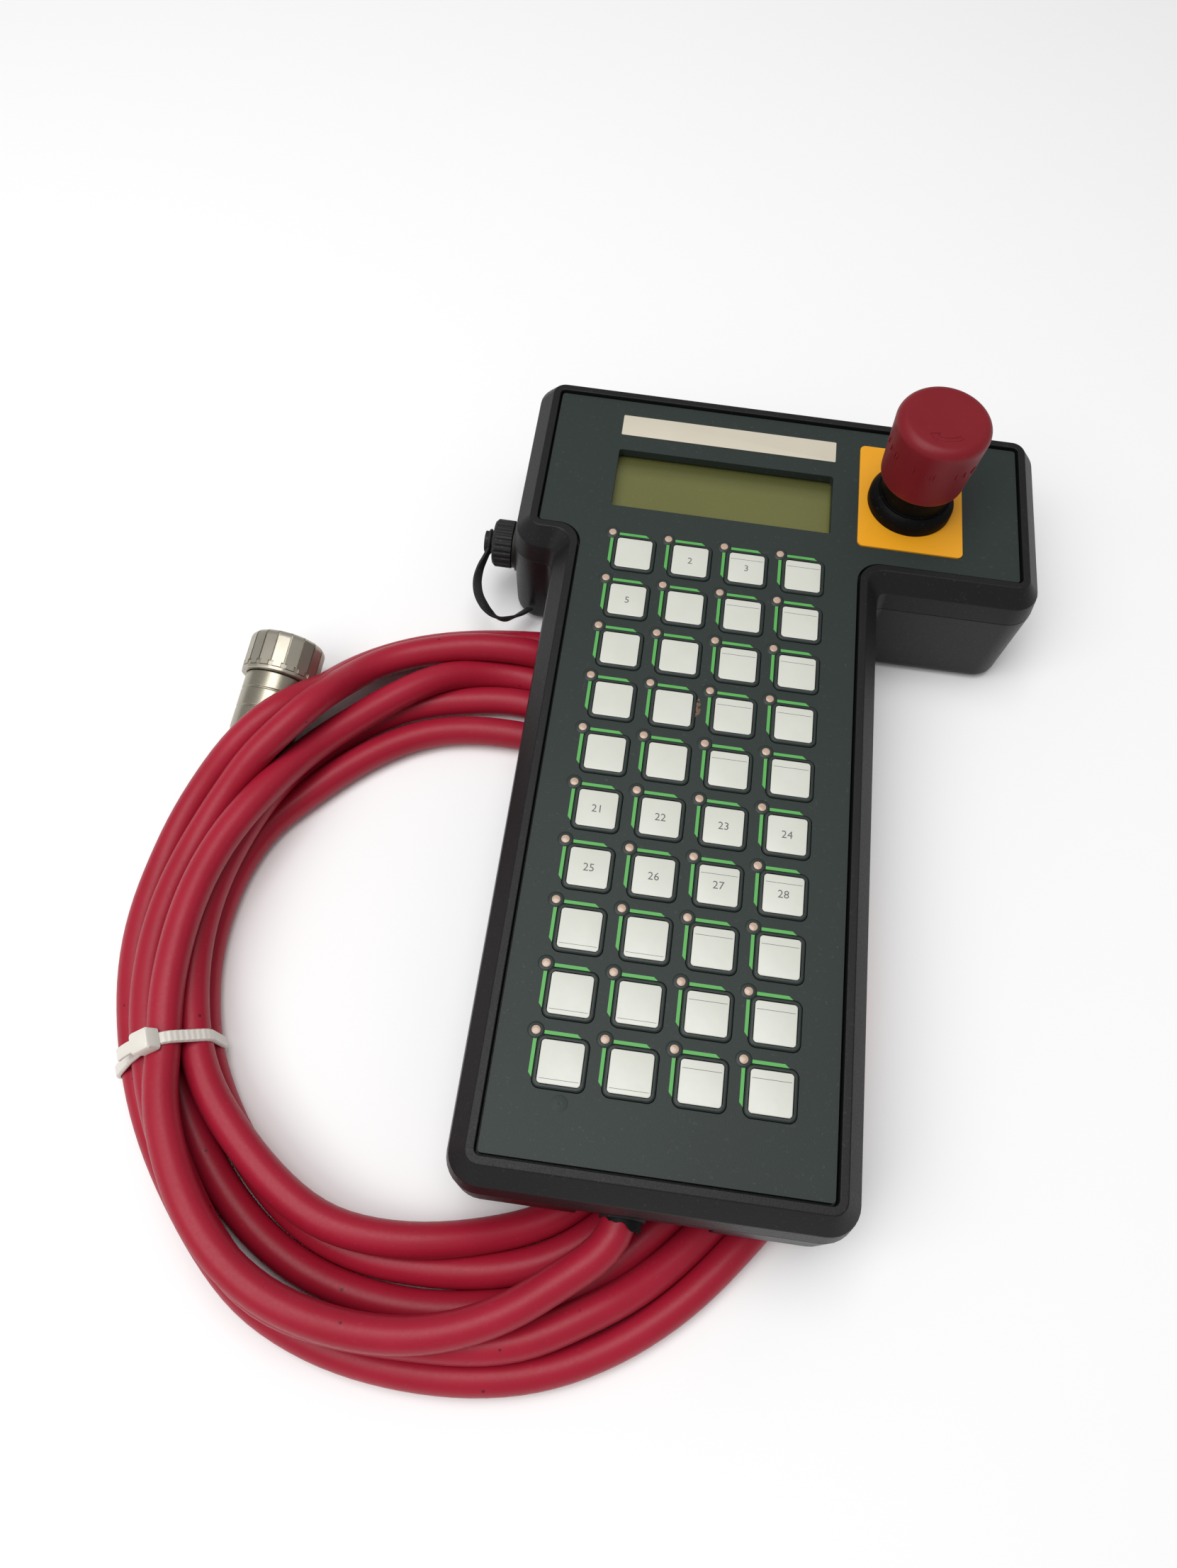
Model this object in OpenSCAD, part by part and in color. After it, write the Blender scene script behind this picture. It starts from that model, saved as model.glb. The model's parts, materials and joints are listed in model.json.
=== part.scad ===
// Hand-held teach pendant: a T-shaped two-part housing with a forty-key
// front panel, a display, a stop switch, a capped port and a coiled cable
// that ends in a round metal connector. Millimetres, +Z up. The pendant lies
// on the flat back of its head, whose centre is the origin; +Y is the head.

/* [Housing] */
// Width of the head
head_w = 182; // [160:1:210]
// Height of the head, along Y
head_h = 76; // [68:1:90]
// Depth of the head, from its back to the panel's face
head_d = 49.5; // [44:0.5:60]
// Width of the grip
grip_w = 112; // [106:1:124]
// Distance from the last row that the grip has room for to the grip's end
grip_foot = 34.65; // [33:0.05:60]
// Rows of keys that the grip has room for
grip_rows = 10; // [10:1:12]
// Depth of the grip, from its underside to the panel's face
grip_d = 34.5; // [32:0.5:38]
// Sideways shift of the grip from the middle of the head
grip_shift = -20; // [-30:1:-10]
// Height of the parting line over the back
part_z = 37; // [34:0.5:40]
// Thickness of the housing walls
wall = 2.8; // [2:0.1:3.4]
// Radius of the outer corners
corner_r = 10; // [6:0.5:14]
// Radius of the two inner shoulders on the outside
shoulder_r = 3; // [2:0.5:8]
// Radius of the two inner shoulders at the panel
panel_shoulder_r = 8; // [5:0.5:12]
// Slope of the lower walls, in degrees
draft = 1.5; // [0.5:0.1:2.5]
// Radius of the lower edge
base_r = 4.5; // [2:0.5:6]

/* [Rim] */
// Width of the rim from the panel's edge to the housing's outside
rim_w = 9; // [8:0.5:11]
// Height of the rim's ridge over the panel
rim_rise = 1; // [0.5:0.1:2]
// Width of the flat top of the ridge
ridge_w = 2.4; // [1.6:0.1:3.2]
// Depth of the sloping edge outside the ridge
bevel_h = 6; // [4:0.5:8]
// Gap all round the panel
panel_gap = 0.8; // [0.4:0.1:1.2]

/* [Front panel] */
// Thickness of the front panel
panel_t = 3; // [2.4:0.1:4]
// Thickness of the deck that carries the panel
deck_t = 2.5; // [2:0.1:3.5]
// Thickness of the lip that holds the keys in
lip_t = 0.9; // [0.6:0.1:1.2]

/* [Keys] */
// Number of key columns
key_cols = 4; // [2:1:4]
// Number of key rows
key_rows = 10; // [2:1:10]
// Distance between neighbouring keys
key_pitch = 19.05; // [18:0.05:20]
// Distance from the head's centre line down to the first row of keys
key_drop = 38.7; // [36:0.1:44]
// Width of a key's raised frame
key_w = 14.4; // [12.5:0.1:15]
// Corner radius of a key
key_r = 2.2; // [2:0.1:3]
// Height of a key's frame over the panel
key_rise = 0.7; // [0.4:0.1:1.2]
// Width of a key's label window
window_w = 12.1; // [9:0.1:12.4]
// Depth of the window below the frame
window_deep = 0.35; // [0.2:0.05:0.5]
// Travel of a key
key_travel = 0.5; // [0.3:0.1:0.6]
// Clearance round a key
key_gap = 0.2; // [0.15:0.05:0.3]
// How far a key's flange reaches under the lip
flange_reach = 0.4; // [0.3:0.05:0.5]
// Diameter of a key's stem
stem_d = 5; // [4:0.5:6]

/* [Status lamps] */
// Diameter of a lamp
lamp_d = 2.2; // [1.8:0.1:2.4]
// Height of a lamp over the panel
lamp_rise = 0.4; // [0.2:0.1:0.8]
// Sideways distance from a key's middle to its lamp
lamp_dx = 8; // [7.9:0.05:8.3]
// Upward distance from a key's middle to its lamp
lamp_dy = 8.15; // [7.9:0.05:8.3]

/* [Board] */
// Thickness of the keypad board
board_t = 1.6; // [1:0.1:2]
// Diameter of a snap dome
dome_d = 6.4; // [5:0.1:8]
// Height of a snap dome
dome_h = 1; // [0.8:0.1:1.4]
// Depth of the board's top below the deck
board_deep = 1.6; // [1.4:0.1:2.5]

/* [Display] */
// Width of the display window
display_w = 76; // [60:0.5:80]
// Height of the display window
display_h = 25.2; // [20:0.2:28]
// Height of the window's middle over the head's centre line
display_y = -6.3; // [-7:0.1:-4]
// Width of the display's bezel round the window
bezel = 4; // [2:0.5:5]
// Depth of the display glass below the panel's face
glass_deep = 4; // [3.4:0.1:5]

/* [Stop switch] */
// Position of the switch across the head
stop_x = 44; // [42:0.5:50]
// Position of the switch along Y
stop_y = -1.5; // [-4:0.5:2]
// Width of the yellow plate
plate_w = 36; // [32:0.5:40]
// Height of the yellow plate
plate_h = 44.5; // [36:0.5:46]
// Thickness of the yellow plate
plate_t = 0.6; // [0.4:0.1:1]
// Diameter of the switch barrel
barrel_d = 22.3; // [20:0.1:22.5]
// Diameter of the collar
collar_d = 29.4; // [26:0.2:31]
// Height of the collar
collar_h = 6; // [4:0.5:8]
// Diameter of the knob at its top
knob_d = 30.2; // [26:0.2:34]
// Diameter of the knob at its lower rim
knob_low_d = 28; // [24:0.2:30]
// Height of the knob
knob_h = 24.5; // [18:0.5:30]
// Height of the knob's lower rim over the panel
knob_clear = 16; // [14:0.5:20]
// Travel of the plunger when it is pushed
stop_travel = 4; // [3:0.5:5]
// Running clearance of the plunger
run_gap = 0.05; // [0.02:0.01:0.1]

/* [Port and cap] */
// Position of the port along Y
port_y = -21.5; // [-24:0.5:-12]
// Height of the port over the back
port_z = 23.5; // [18:0.5:26]
// Diameter of the port's thread
port_d = 12; // [10:0.5:14]
// Diameter of the cap
cap_d = 17; // [15:0.5:20]
// Length of the cap
cap_len = 7; // [6:0.5:10]
// Diameter of the boss on the cap
boss_d = 6; // [4:0.5:8]
// Length of the boss on the cap
boss_len = 3.4; // [2.4:0.1:5]
// Width of the strap
strap_w = 3; // [2:0.1:4]
// Thickness of the strap
strap_t = 1.4; // [1:0.1:2]

/* [Gland] */
// Width of the notch at the grip's end
notch_w = 38; // [30:1:44]
// Height of the notch above the underside
notch_h = 14.5; // [13:0.5:17]
// Depth of the notch
notch_deep = 14; // [10:0.5:20]
// Position of the gland across the pendant
gland_x = -26; // [-28:0.5:-16]
// Diameter of the gland sleeve
gland_d = 13; // [12:0.5:14]
// Length of the sleeve past the end wall
gland_out = 2.5; // [0:0.5:6]

/* [Cable] */
// Diameter of the cable
cable_d = 10; // [8:0.2:11]

/* [Connector] */
// Diameter of the coupling ring
ring_d = 25.8; // [24:0.2:28]
// Length of the coupling ring
ring_len = 14.5; // [12:0.5:18]
// Radius of the ring's thread
thread_r = 11; // [10:0.1:11.2]
// Diameter of the connector's body
plug_d = 22; // [20:0.2:23]
// Length of the connector's body behind the ring
plug_len = 40; // [34:1:48]
// Number of flutes round the ring
flutes = 18; // [12:1:30]

/* [Hidden] */
$fn = 48;
eps = 0.01;

// Housing
head_low = -head_h / 2;
grip_end = -key_drop - (grip_rows - 1) * key_pitch - grip_foot;
grip_left = grip_shift - grip_w / 2;
grip_right = grip_shift + grip_w / 2;
grip_z = head_d - grip_d;
slope = tan(draft);
cavity_in = wall + slope * part_z;
rim_top = head_d + rim_rise;
panel_z = head_d - panel_t;
deck_z = panel_z - deck_t;
arc_steps = 8;
base_steps = 6;
through = 30;

// Front panel, keys and board
keys_y = -key_drop;
keys_span_x = (key_cols - 1) * key_pitch;
keys_span_y = (key_rows - 1) * key_pitch;
flange_w = key_w + 2 * flange_reach;
flange_r = key_r + flange_reach;
flange_t = 1.4;
flange_play = 0.1;
window_r = 1;
board_z = deck_z - board_deep;
dome_top = board_z + dome_h;
board_edge = 6;
lamp_play = 0.1;

// Display
display_x = grip_shift - 0.7;
glass_z = head_d - glass_deep;
glass_t = 2.5;
bezel_rise = 0.6;
display_board_t = 6;
display_play = 0.5;

// Stop switch
plate_x = stop_x + 0.4;
plate_y = stop_y + 1.2;
plate_r = 2;
plate_z = head_d + plate_t;
neck_d = 23.2;
neck_top = head_d + knob_clear + 3;
plunger_d = 18;
pin_d = 12;
knob_z = head_d + knob_clear;
knob_skirt_d = 24.6;
ceiling_z = knob_z + 9.5;
knob_round = 3.5;
pin_top = ceiling_z + 9;
plunger_z = 41;
barrel_z = 31;
barrel_play = 0.2;
block_w = 26;
block_h = 20;
nut_d = 29;
nut_h = 4;

// Port, cap and strap
port_out = -head_w / 2;
port_boss_d = 18.4;
port_flange_d = 16.4;
port_flange_t = 1.2;
port_stub = 6;
port_deep = 9;
port_nut_d = 18;
cap_gap = 0.3;
cap_wall = 0.8;
knurls = 24;
boss_head_t = 1.3;
eye_d = 9.2;
strap_gap = 0.3;

// Gland
gland_z = grip_z + 9.5;
gland_bore_d = cable_d + 0.3;
gland_bore = 8;
pocket_y = grip_end + notch_deep;
gland_foot_w = 17;
gland_foot_t = 3;
gland_foot_low = 6.5;
gland_tail = 4;

// Housing screws
screw_r = 1.45;
screw_head_r = 2.8;
screw_head_t = 2;
screw_seat = 26;
screw_len = 14;
post_r = 4.2;
post_top = 30;
screw_in = 12;
screw_up = 26;
lower_post_r = post_r + 0.4;
board_play = 0.4;

// Cable: the coil and its place
coil_at = [-76.5, -171];
coil_out = 122;
coil_in = 80;
coil_low = cable_d + 1;
coil_mid = 2 * cable_d - 1;
coil_high = 3 * cable_d - 2;
coil_edge = 3;
coil_lean = 5;
coil_slack = 0.4;
mid_from = 96;
high_from = 128;
high_to = 262;

// The lead, laid by hand from the gland to the coil's top layer
lead_r = 111;
lead_z = 20.8;
lead_dir = [sin(high_to), -cos(high_to), 0];
lead_end = [
  coil_at[0] + lead_r * cos(high_to),
  coil_at[1] + lead_r * sin(high_to), lead_z];
lead_points = concat([
  [-26, -242, 24.5], [-26, -247, 24.5], [-27.6, -251.5, 24.3],
  [-31.5, -256, 23.9], [-37, -261.5, 23.3], [-44.5, -267.5, 22.6],
  [-53.5, -273, 21.9], [-64, -277.6, 21.3]],
  [lead_end - 15 * lead_dir, lead_end]);

// Cable tie, pulled tight round a stack of turns; each is [distance, height]
tie_angle = 205;
tie_stack = [[112.4, 6.4], [106.7, 15], [100, 22.2], [93, 15.6], [92, 6.4]];
tie_w = 4.8;
tie_t = 1.2;
tie_play = 0.1;
tie_head_at = 107.9;
tie_head_up = 22.8;
tie_head_turn = 47;
tie_head = [8, 7.6, 5];
tie_tail = 8;

// Connector: its place, with its body's rear edge on the ground
plug_at = [-164.9, -86.2];
plug_turn = -4.3;
plug_tilt = 11;
plug_rest = 20;
plug_z = plug_d / 2 * cos(plug_tilt) + plug_rest * sin(plug_tilt);
plug_play = 0.3;
neck_r = 9.5;
insert_end = 5.5;
nut_r = cable_d / 2 + 1.4;
nut_len = 6;
flute_gap = 0.7;
flute_deep = 0.6;
notch_gap = 2;
notch_len = 1.6;
rear_rim = 1.4;

// ---- Outlines ----

// Points on an arc round c, from angle a to angle b
function arc(c, r, a, b) =
  [for (i = [0 : arc_steps])
    let (t = a + (b - a) * i / arc_steps) c + r * [cos(t), sin(t)]];

// A rounded outer corner at p; sx and sy say which way it points
function corner(p, r, sx, sy, a) = arc(p - r * [sx, sy], r, a, a + 90);

// The radius of an outer corner, and of a shoulder, d inside the housing
function corner_at(d) = max(corner_r - d, 0.8);
function shoulder_at(d) =
  shoulder_r + (panel_shoulder_r - shoulder_r) * d / rim_w;

// The housing's T outline, moved inwards by d
function t_outline(d) =
  let (r = corner_at(d), s = shoulder_at(d), x = head_w / 2 - d,
    y = head_h / 2 - d, left = grip_left + d, right = grip_right - d,
    low = head_low + d, end = grip_end + d)
  concat(
    corner([x, y], r, 1, 1, 0),
    corner([-x, y], r, -1, 1, 90),
    corner([-x, low], r, -1, -1, 180),
    arc([left - s, low - s], s, 90, 0),
    corner([left, end], r, -1, -1, 180),
    corner([right, end], r, 1, -1, 270),
    arc([right + s, low - s], s, 180, 90),
    corner([x, low], r, 1, -1, 270));

// The head's outline alone, moved inwards by d
function head_outline(d) =
  let (r = corner_at(d), x = head_w / 2 - d, y = head_h / 2 - d)
  concat(
    corner([x, y], r, 1, 1, 0), corner([-x, y], r, -1, 1, 90),
    corner([-x, -y], r, -1, -1, 180), corner([x, -y], r, 1, -1, 270));

// Depth inside the housing's outline of the drafted wall at height z
function wall_in(z) = slope * (part_z - z);

// Insets and heights of the rounded lower edge that starts at height z
function base_insets(z) =
  [for (i = [0 : base_steps])
    wall_in(z + base_r) + base_r * (1 - sin(90 * i / base_steps))];
function base_heights(z) =
  [for (i = [0 : base_steps]) z + base_r * (1 - cos(90 * i / base_steps))];

// The T outline's end face as convex pieces: the head, the strips between
// the two shoulders, and the grip
function t_caps() = let (m = arc_steps + 1) concat(
  [concat([for (i = [0 : 3 * m]) i], [for (i = [7 * m - 1 : 8 * m - 1]) i])],
  [for (i = [0 : arc_steps - 1])
    [3 * m + i, 3 * m + i + 1, 7 * m - 2 - i, 7 * m - 1 - i]],
  [[for (i = [4 * m - 1 : 6 * m]) i]]);

// The head outline's end face
function head_caps() = [[for (i = [0 : 4 * arc_steps + 3]) i]];

// A solid through outlines of equal length, each at its own height
module loft(outlines, heights, caps) {
  n = len(outlines[0]);
  last = len(outlines) - 1;
  points = [for (k = [0 : last]) for (p = outlines[k])
    [p[0], p[1], heights[k]]];
  sides = [for (k = [0 : last - 1]) for (i = [0 : n - 1])
    let (j = (i + 1) % n)
    [k * n + i, (k + 1) * n + i, (k + 1) * n + j, k * n + j]];
  top = [for (c = caps) [for (i = [len(c) - 1 : -1 : 0]) last * n + c[i]]];
  polyhedron(points, concat(caps, top, sides), convexity = 8);
}

// A centred square with round corners
module rounded_square(w, h, r) {
  square([w - 2 * r, h], center = true);
  square([w, h - 2 * r], center = true);
  for (x = [-1, 1], y = [-1, 1])
    translate([x * (w / 2 - r), y * (h / 2 - r)]) circle(r, $fn = 24);
}

// The outline at distance r round the convex polygon p, which is listed
// anticlockwise
function stack_outline(p, r) = let (n = len(p))
  [for (i = [0 : n - 1])
    let (a = p[(i + n - 1) % n], c = p[(i + 1) % n],
      from = atan2(p[i][1] - a[1], p[i][0] - a[0]) - 90,
      to = atan2(c[1] - p[i][1], c[0] - p[i][0]) - 90,
      turn = (to - from + 540) % 360 - 180)
    each arc(p[i], r, from, from + turn)];

module rounded_plate(w, h, r, z, t) {
  translate([0, 0, z]) linear_extrude(t) rounded_square(w, h, r);
}

// ---- Places ----

function key_x(col) = grip_shift + (col - (key_cols + 1) / 2) * key_pitch;
function key_y(row) = keys_y - (row - 1) * key_pitch;

module at_keys() {
  for (row = [1 : key_rows], col = [1 : key_cols])
    translate([key_x(col), key_y(row), 0]) children();
}

module at_lamps() { at_keys() translate([-lamp_dx, lamp_dy, 0]) children(); }
module at_stop() { translate([stop_x, stop_y, 0]) children(); }
module at_display() { translate([display_x, display_y, 0]) children(); }

// The screws' places; $floor is the height of the back under each
module at_screws() {
  x = head_w / 2 - screw_in;
  y = head_h / 2 - screw_in;
  g = grip_w / 2 - screw_in;
  grip_y = grip_end + screw_up;
  for (p = [[-x, y, 0], [x, y, 0], [-x, 3, 0], [x, -y, 0],
      [grip_shift - g, grip_y, grip_z], [grip_shift + g, grip_y, grip_z]])
    translate([p[0], p[1], 0]) let ($floor = p[2]) children();
}

// The children's +Z points out of the head's left wall
module at_port() {
  translate([port_out, port_y, port_z]) rotate([0, -90, 0]) children();
}

// The children's +Z points out of the grip's end wall
module at_gland() {
  translate([gland_x, grip_end, gland_z]) rotate([90, 0, 0]) children();
}

// The children's +X points outwards from the coil's middle, and +Y up
module at_tie() {
  translate([coil_at[0], coil_at[1], 0]) rotate([90, 0, tie_angle]) children();
}

// The children's +Z points to the connector's mating end
module at_plug() {
  translate([plug_at[0], plug_at[1], plug_z])
    rotate([plug_tilt, 0, plug_turn]) rotate([-90, 0, 0]) children();
}

// ---- Sweep along a route ----

function unit(v) = v / norm(v);
function heading(p, i) =
  unit(p[min(i + 1, len(p) - 1)] - p[max(i - 1, 0)]);

// A bar along a route, of half width a across and half height b
module sweep(p, a, b, sides) {
  n = len(p);
  rings = [for (i = [0 : n - 1])
    let (t = heading(p, i), side = unit(cross(t, [0, 0, 1])),
      up = cross(side, t))
    for (k = [0 : sides - 1]) let (u = 360 * (k + 0.5) / sides)
      p[i] + a * cos(u) * side + b * sin(u) * up];
  faces = [for (i = [0 : n - 2]) for (k = [0 : sides - 1])
    let (j = (k + 1) % sides)
    let (q = [i * sides + k, i * sides + j, (i + 1) * sides + j,
      (i + 1) * sides + k])
    each [[q[0], q[1], q[2]], [q[0], q[2], q[3]]]];
  first = [for (k = [0 : sides - 1]) sides - 1 - k];
  last = [for (k = [0 : sides - 1]) (n - 1) * sides + k];
  polyhedron(rings, concat([first, last], faces), convexity = 6);
}

// ---- Housing ----

// The hole in the deck under all the keys
module keypad_opening() {
  w = keys_span_x + flange_w + 6;
  h = keys_span_y + flange_w + 6;
  translate([grip_shift - w / 2, keys_y - keys_span_y - flange_w / 2 - 3,
      deck_z - 1])
    cube([w, h, deck_t + 2]);
}

module display_opening() {
  w = display_w + 2 * bezel + 2 * display_play;
  h = display_h + 2 * bezel + 2 * display_play;
  at_display() translate([-w / 2, -h / 2, deck_z - 1])
    cube([w, h, deck_t + 2]);
}

module upper_shell() {
  ridge_in = rim_w - panel_gap - ridge_w;
  color([0.11, 0.11, 0.12]) difference() {
    union() {
      difference() {
        loft([t_outline(0), t_outline(rim_rise), t_outline(ridge_in)],
          [part_z, rim_top - bevel_h, rim_top], t_caps());
        translate([0, 0, panel_z]) linear_extrude(through)
          polygon(t_outline(rim_w - panel_gap));
        translate([0, 0, part_z - 1]) linear_extrude(deck_z - part_z + 1)
          polygon(t_outline(cavity_in));
      }
      at_screws() translate([0, 0, post_top])
        cylinder(r = post_r, h = deck_z - post_top + eps);
    }
    keypad_opening();
    display_opening();
    at_stop() translate([0, 0, deck_z - 1])
      cylinder(d = barrel_d + 2 * barrel_play, h = deck_t + 2);
    at_screws() translate([0, 0, post_top - 1])
      cylinder(r = screw_r + run_gap, h = screw_seat + screw_len - post_top + 2);
  }
}

module lower_outside() {
  top = grip_z + base_r;
  loft([for (d = concat(base_insets(0), [wall_in(top)])) head_outline(d)],
    concat(base_heights(0), [top]), head_caps());
  loft([for (d = concat(base_insets(grip_z), [0])) t_outline(d)],
    concat(base_heights(grip_z), [part_z]), t_caps());
}

module lower_cavity() {
  low = head_low + cavity_in;
  translate([0, 0, wall]) linear_extrude(part_z)
    polygon(head_outline(cavity_in));
  translate([grip_left + cavity_in, grip_end + cavity_in, grip_z + wall])
    cube([grip_w - 2 * cavity_in, low - grip_end, part_z]);
}

// The pocket round the notch that the cable leaves through
module notch_box(more) {
  w = notch_w + 2 * more;
  translate([grip_shift - w / 2, grip_end + (more > 0 ? wall : -1),
      grip_z + (more > 0 ? 1 : -1)])
    cube([w, notch_deep + (more > 0 ? more - wall : 1),
      notch_h + (more > 0 ? more - 1 : 1)]);
}

module lower_shell() {
  color([0.1, 0.1, 0.11]) difference() {
    union() {
      difference() {
        lower_outside();
        lower_cavity();
      }
      notch_box(wall);
      at_screws() translate([0, 0, $floor + wall / 2])
        cylinder(r = lower_post_r, h = post_top - $floor - wall / 2);
      at_port() translate([0, 0, -cavity_in])
        cylinder(d = port_boss_d, h = cavity_in);
    }
    notch_box(0);
    at_screws() {
      translate([0, 0, -1]) cylinder(r = screw_head_r + 0.4, h = screw_seat + 1);
      cylinder(r = screw_r + 0.25, h = through + 10);
    }
    at_port() translate([0, 0, -through / 2])
      cylinder(d = port_d + 2 * run_gap, h = through);
    at_gland() translate([0, 0, -through])
      cylinder(d = gland_d + 2 * run_gap, h = through + 5);
  }
}

module housing_screws() {
  color([0.55, 0.56, 0.57]) at_screws() {
    translate([0, 0, screw_seat - screw_head_t])
      cylinder(r = screw_head_r, h = screw_head_t);
    translate([0, 0, screw_seat - eps])
      cylinder(r = screw_r, h = screw_len);
  }
}

// ---- Front panel and keys ----

module front_panel() {
  lip_z = head_d - lip_t;
  color([0.2, 0.24, 0.24]) difference() {
    translate([0, 0, panel_z]) linear_extrude(panel_t)
      polygon(t_outline(rim_w));
    at_keys() {
      rounded_plate(flange_w + 2 * key_gap, flange_w + 2 * key_gap,
        flange_r + key_gap, panel_z - 1, lip_z - panel_z + 1);
      rounded_plate(key_w + 2 * key_gap, key_w + 2 * key_gap,
        key_r + key_gap, panel_z, through);
    }
    at_lamps() translate([0, 0, panel_z - 1])
      cylinder(d = lamp_d + 2 * lamp_play, h = through, $fn = 24);
    at_display() rounded_plate(display_w, display_h, window_r, panel_z - 1, through);
    at_stop() translate([0, 0, panel_z - 1])
      cylinder(d = barrel_d + 2 * barrel_play, h = through);
  }
}

// One key: a raised frame round its label window, a flange and a stem
module key_cap() {
  top = head_d + key_rise;
  flange_top = head_d - lip_t - flange_play;
  stem_z = dome_top + key_travel + 0.1;
  difference() {
    union() {
      rounded_plate(key_w, key_w, key_r, flange_top - eps,
        top - flange_top + eps);
      rounded_plate(flange_w, flange_w, flange_r, flange_top - flange_t, flange_t);
      translate([0, 0, stem_z]) cylinder(d = stem_d, h = flange_top - stem_z);
    }
    rounded_plate(window_w, window_w, window_r, top - window_deep, window_deep + 1);
  }
}

module key(row, col) {
  color([0.87, 0.88, 0.84]) translate([key_x(col), key_y(row), 0]) key_cap();
}

module status_lamps() {
  r = lamp_d / 2;
  color([0.8, 0.65, 0.56]) at_lamps() {
    translate([0, 0, board_z])
      cylinder(r = r, h = head_d + lamp_rise - board_z - r / 2, $fn = 24);
  }
}

module keypad_board() {
  w = keys_span_x + flange_w + 2 * board_edge;
  h = keys_span_y + flange_w + 2 * board_edge;
  color([0.1, 0.32, 0.2]) {
    difference() {
      translate([grip_shift - w / 2, keys_y - keys_span_y - flange_w / 2 - board_edge,
          board_z - board_t])
        cube([w, h, board_t]);
      at_screws() translate([0, 0, board_z - board_t - 1])
        cylinder(r = lower_post_r + board_play, h = board_t + 2);
      // No corner is left standing beyond a post in the grip
      for (side = [-1, 1])
        translate([grip_shift + side * (grip_w / 2 - screw_in + through / 2),
            grip_end + screw_up - through / 2, board_z])
          cube([through, through, through], center = true);
    }
    at_keys() translate([0, 0, board_z - eps])
      cylinder(d1 = dome_d, d2 = dome_d - 2, h = dome_h + eps);
  }
}

module display_module() {
  w = display_w + 2 * bezel;
  h = display_h + 2 * bezel;
  color([0.42, 0.42, 0.24]) at_display() {
    translate([-w / 2, -h / 2, glass_z - glass_t]) cube([w, h, glass_t]);
    translate([-w / 2 + 1, -h / 2 + 1, glass_z - glass_t - display_board_t])
      cube([w - 2, h - 2, display_board_t + eps]);
    difference() {
      translate([-w / 2, -h / 2, glass_z - eps])
        cube([w, h, panel_z - glass_z - display_play + eps]);
      translate([-display_w / 2 - 1, -display_h / 2 - 1, glass_z - 1])
        cube([display_w + 2, display_h + 2, 6]);
    }
  }
}

// ---- Stop switch ----

module stop_plate() {
  color([0.9, 0.62, 0.08]) difference() {
    translate([plate_x, plate_y, 0])
      rounded_plate(plate_w, plate_h, plate_r, head_d, plate_t);
    at_stop() translate([0, 0, head_d - 1])
      cylinder(d = barrel_d + 2 * barrel_play, h = plate_t + 2);
  }
}

module stop_switch() {
  r = collar_d / 2;
  color([0.09, 0.09, 0.1]) at_stop() {
    rotate_extrude() difference() {
      polygon([
        [0, barrel_z], [barrel_d / 2, barrel_z], [barrel_d / 2, plate_z],
        [r, plate_z], [r, plate_z + collar_h * 0.45],
        [r - 1, plate_z + collar_h * 0.8], [r - 2.2, plate_z + collar_h],
        [neck_d / 2, plate_z + collar_h], [neck_d / 2, neck_top], [0, neck_top]]);
      translate([0, plunger_z - stop_travel - 1])
        square([plunger_d / 2 + run_gap, through + 10]);
    }
    translate([0, 0, deck_z - nut_h]) difference() {
      cylinder(d = nut_d, h = nut_h, $fn = 6);
      translate([0, 0, -1]) cylinder(d = barrel_d, h = nut_h + 2);
    }
    translate([-block_w / 2, -block_w / 2, barrel_z - block_h])
      cube([block_w, block_w, block_h + eps]);
  }
}

module stop_plunger() {
  color([0.16, 0.16, 0.17]) at_stop() {
    translate([0, 0, plunger_z])
      cylinder(d = plunger_d, h = ceiling_z - cap_gap - plunger_z);
    translate([0, 0, ceiling_z - cap_gap - eps])
      cylinder(d = pin_d, h = pin_top - ceiling_z);
  }
}

module stop_knob() {
  top = knob_z + knob_h;
  r = knob_d / 2;
  c = knob_round;
  color([0.5, 0.1, 0.14]) at_stop() rotate_extrude() difference() {
    union() {
      polygon([[0, knob_z], [knob_low_d / 2 - 0.6, knob_z],
        [knob_low_d / 2, knob_z + 0.8], [r, top - c], [0, top - c]]);
      translate([0, top - c - eps]) square([r - c, c + eps]);
      translate([r - c, top - c]) intersection() {
        circle(c);
        square(c);
      }
    }
    translate([0, knob_z - 1]) square([knob_skirt_d / 2, ceiling_z - knob_z + 1]);
    square([pin_d / 2 + run_gap, pin_top]);
  }
}

// ---- Port, cap and strap ----

module port_socket() {
  color([0.5, 0.5, 0.5]) at_port() difference() {
    union() {
      translate([0, 0, -cavity_in - 5]) cylinder(d = port_d, h = cavity_in + 5 + port_flange_t + port_stub);
      cylinder(d = port_flange_d, h = port_flange_t);
      translate([0, 0, -cavity_in - 3]) cylinder(d = port_nut_d, h = 3, $fn = 6);
    }
    translate([0, 0, port_flange_t + port_stub - port_deep])
      cylinder(d = port_d - 2.6, h = port_deep + 1);
  }
}

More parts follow.
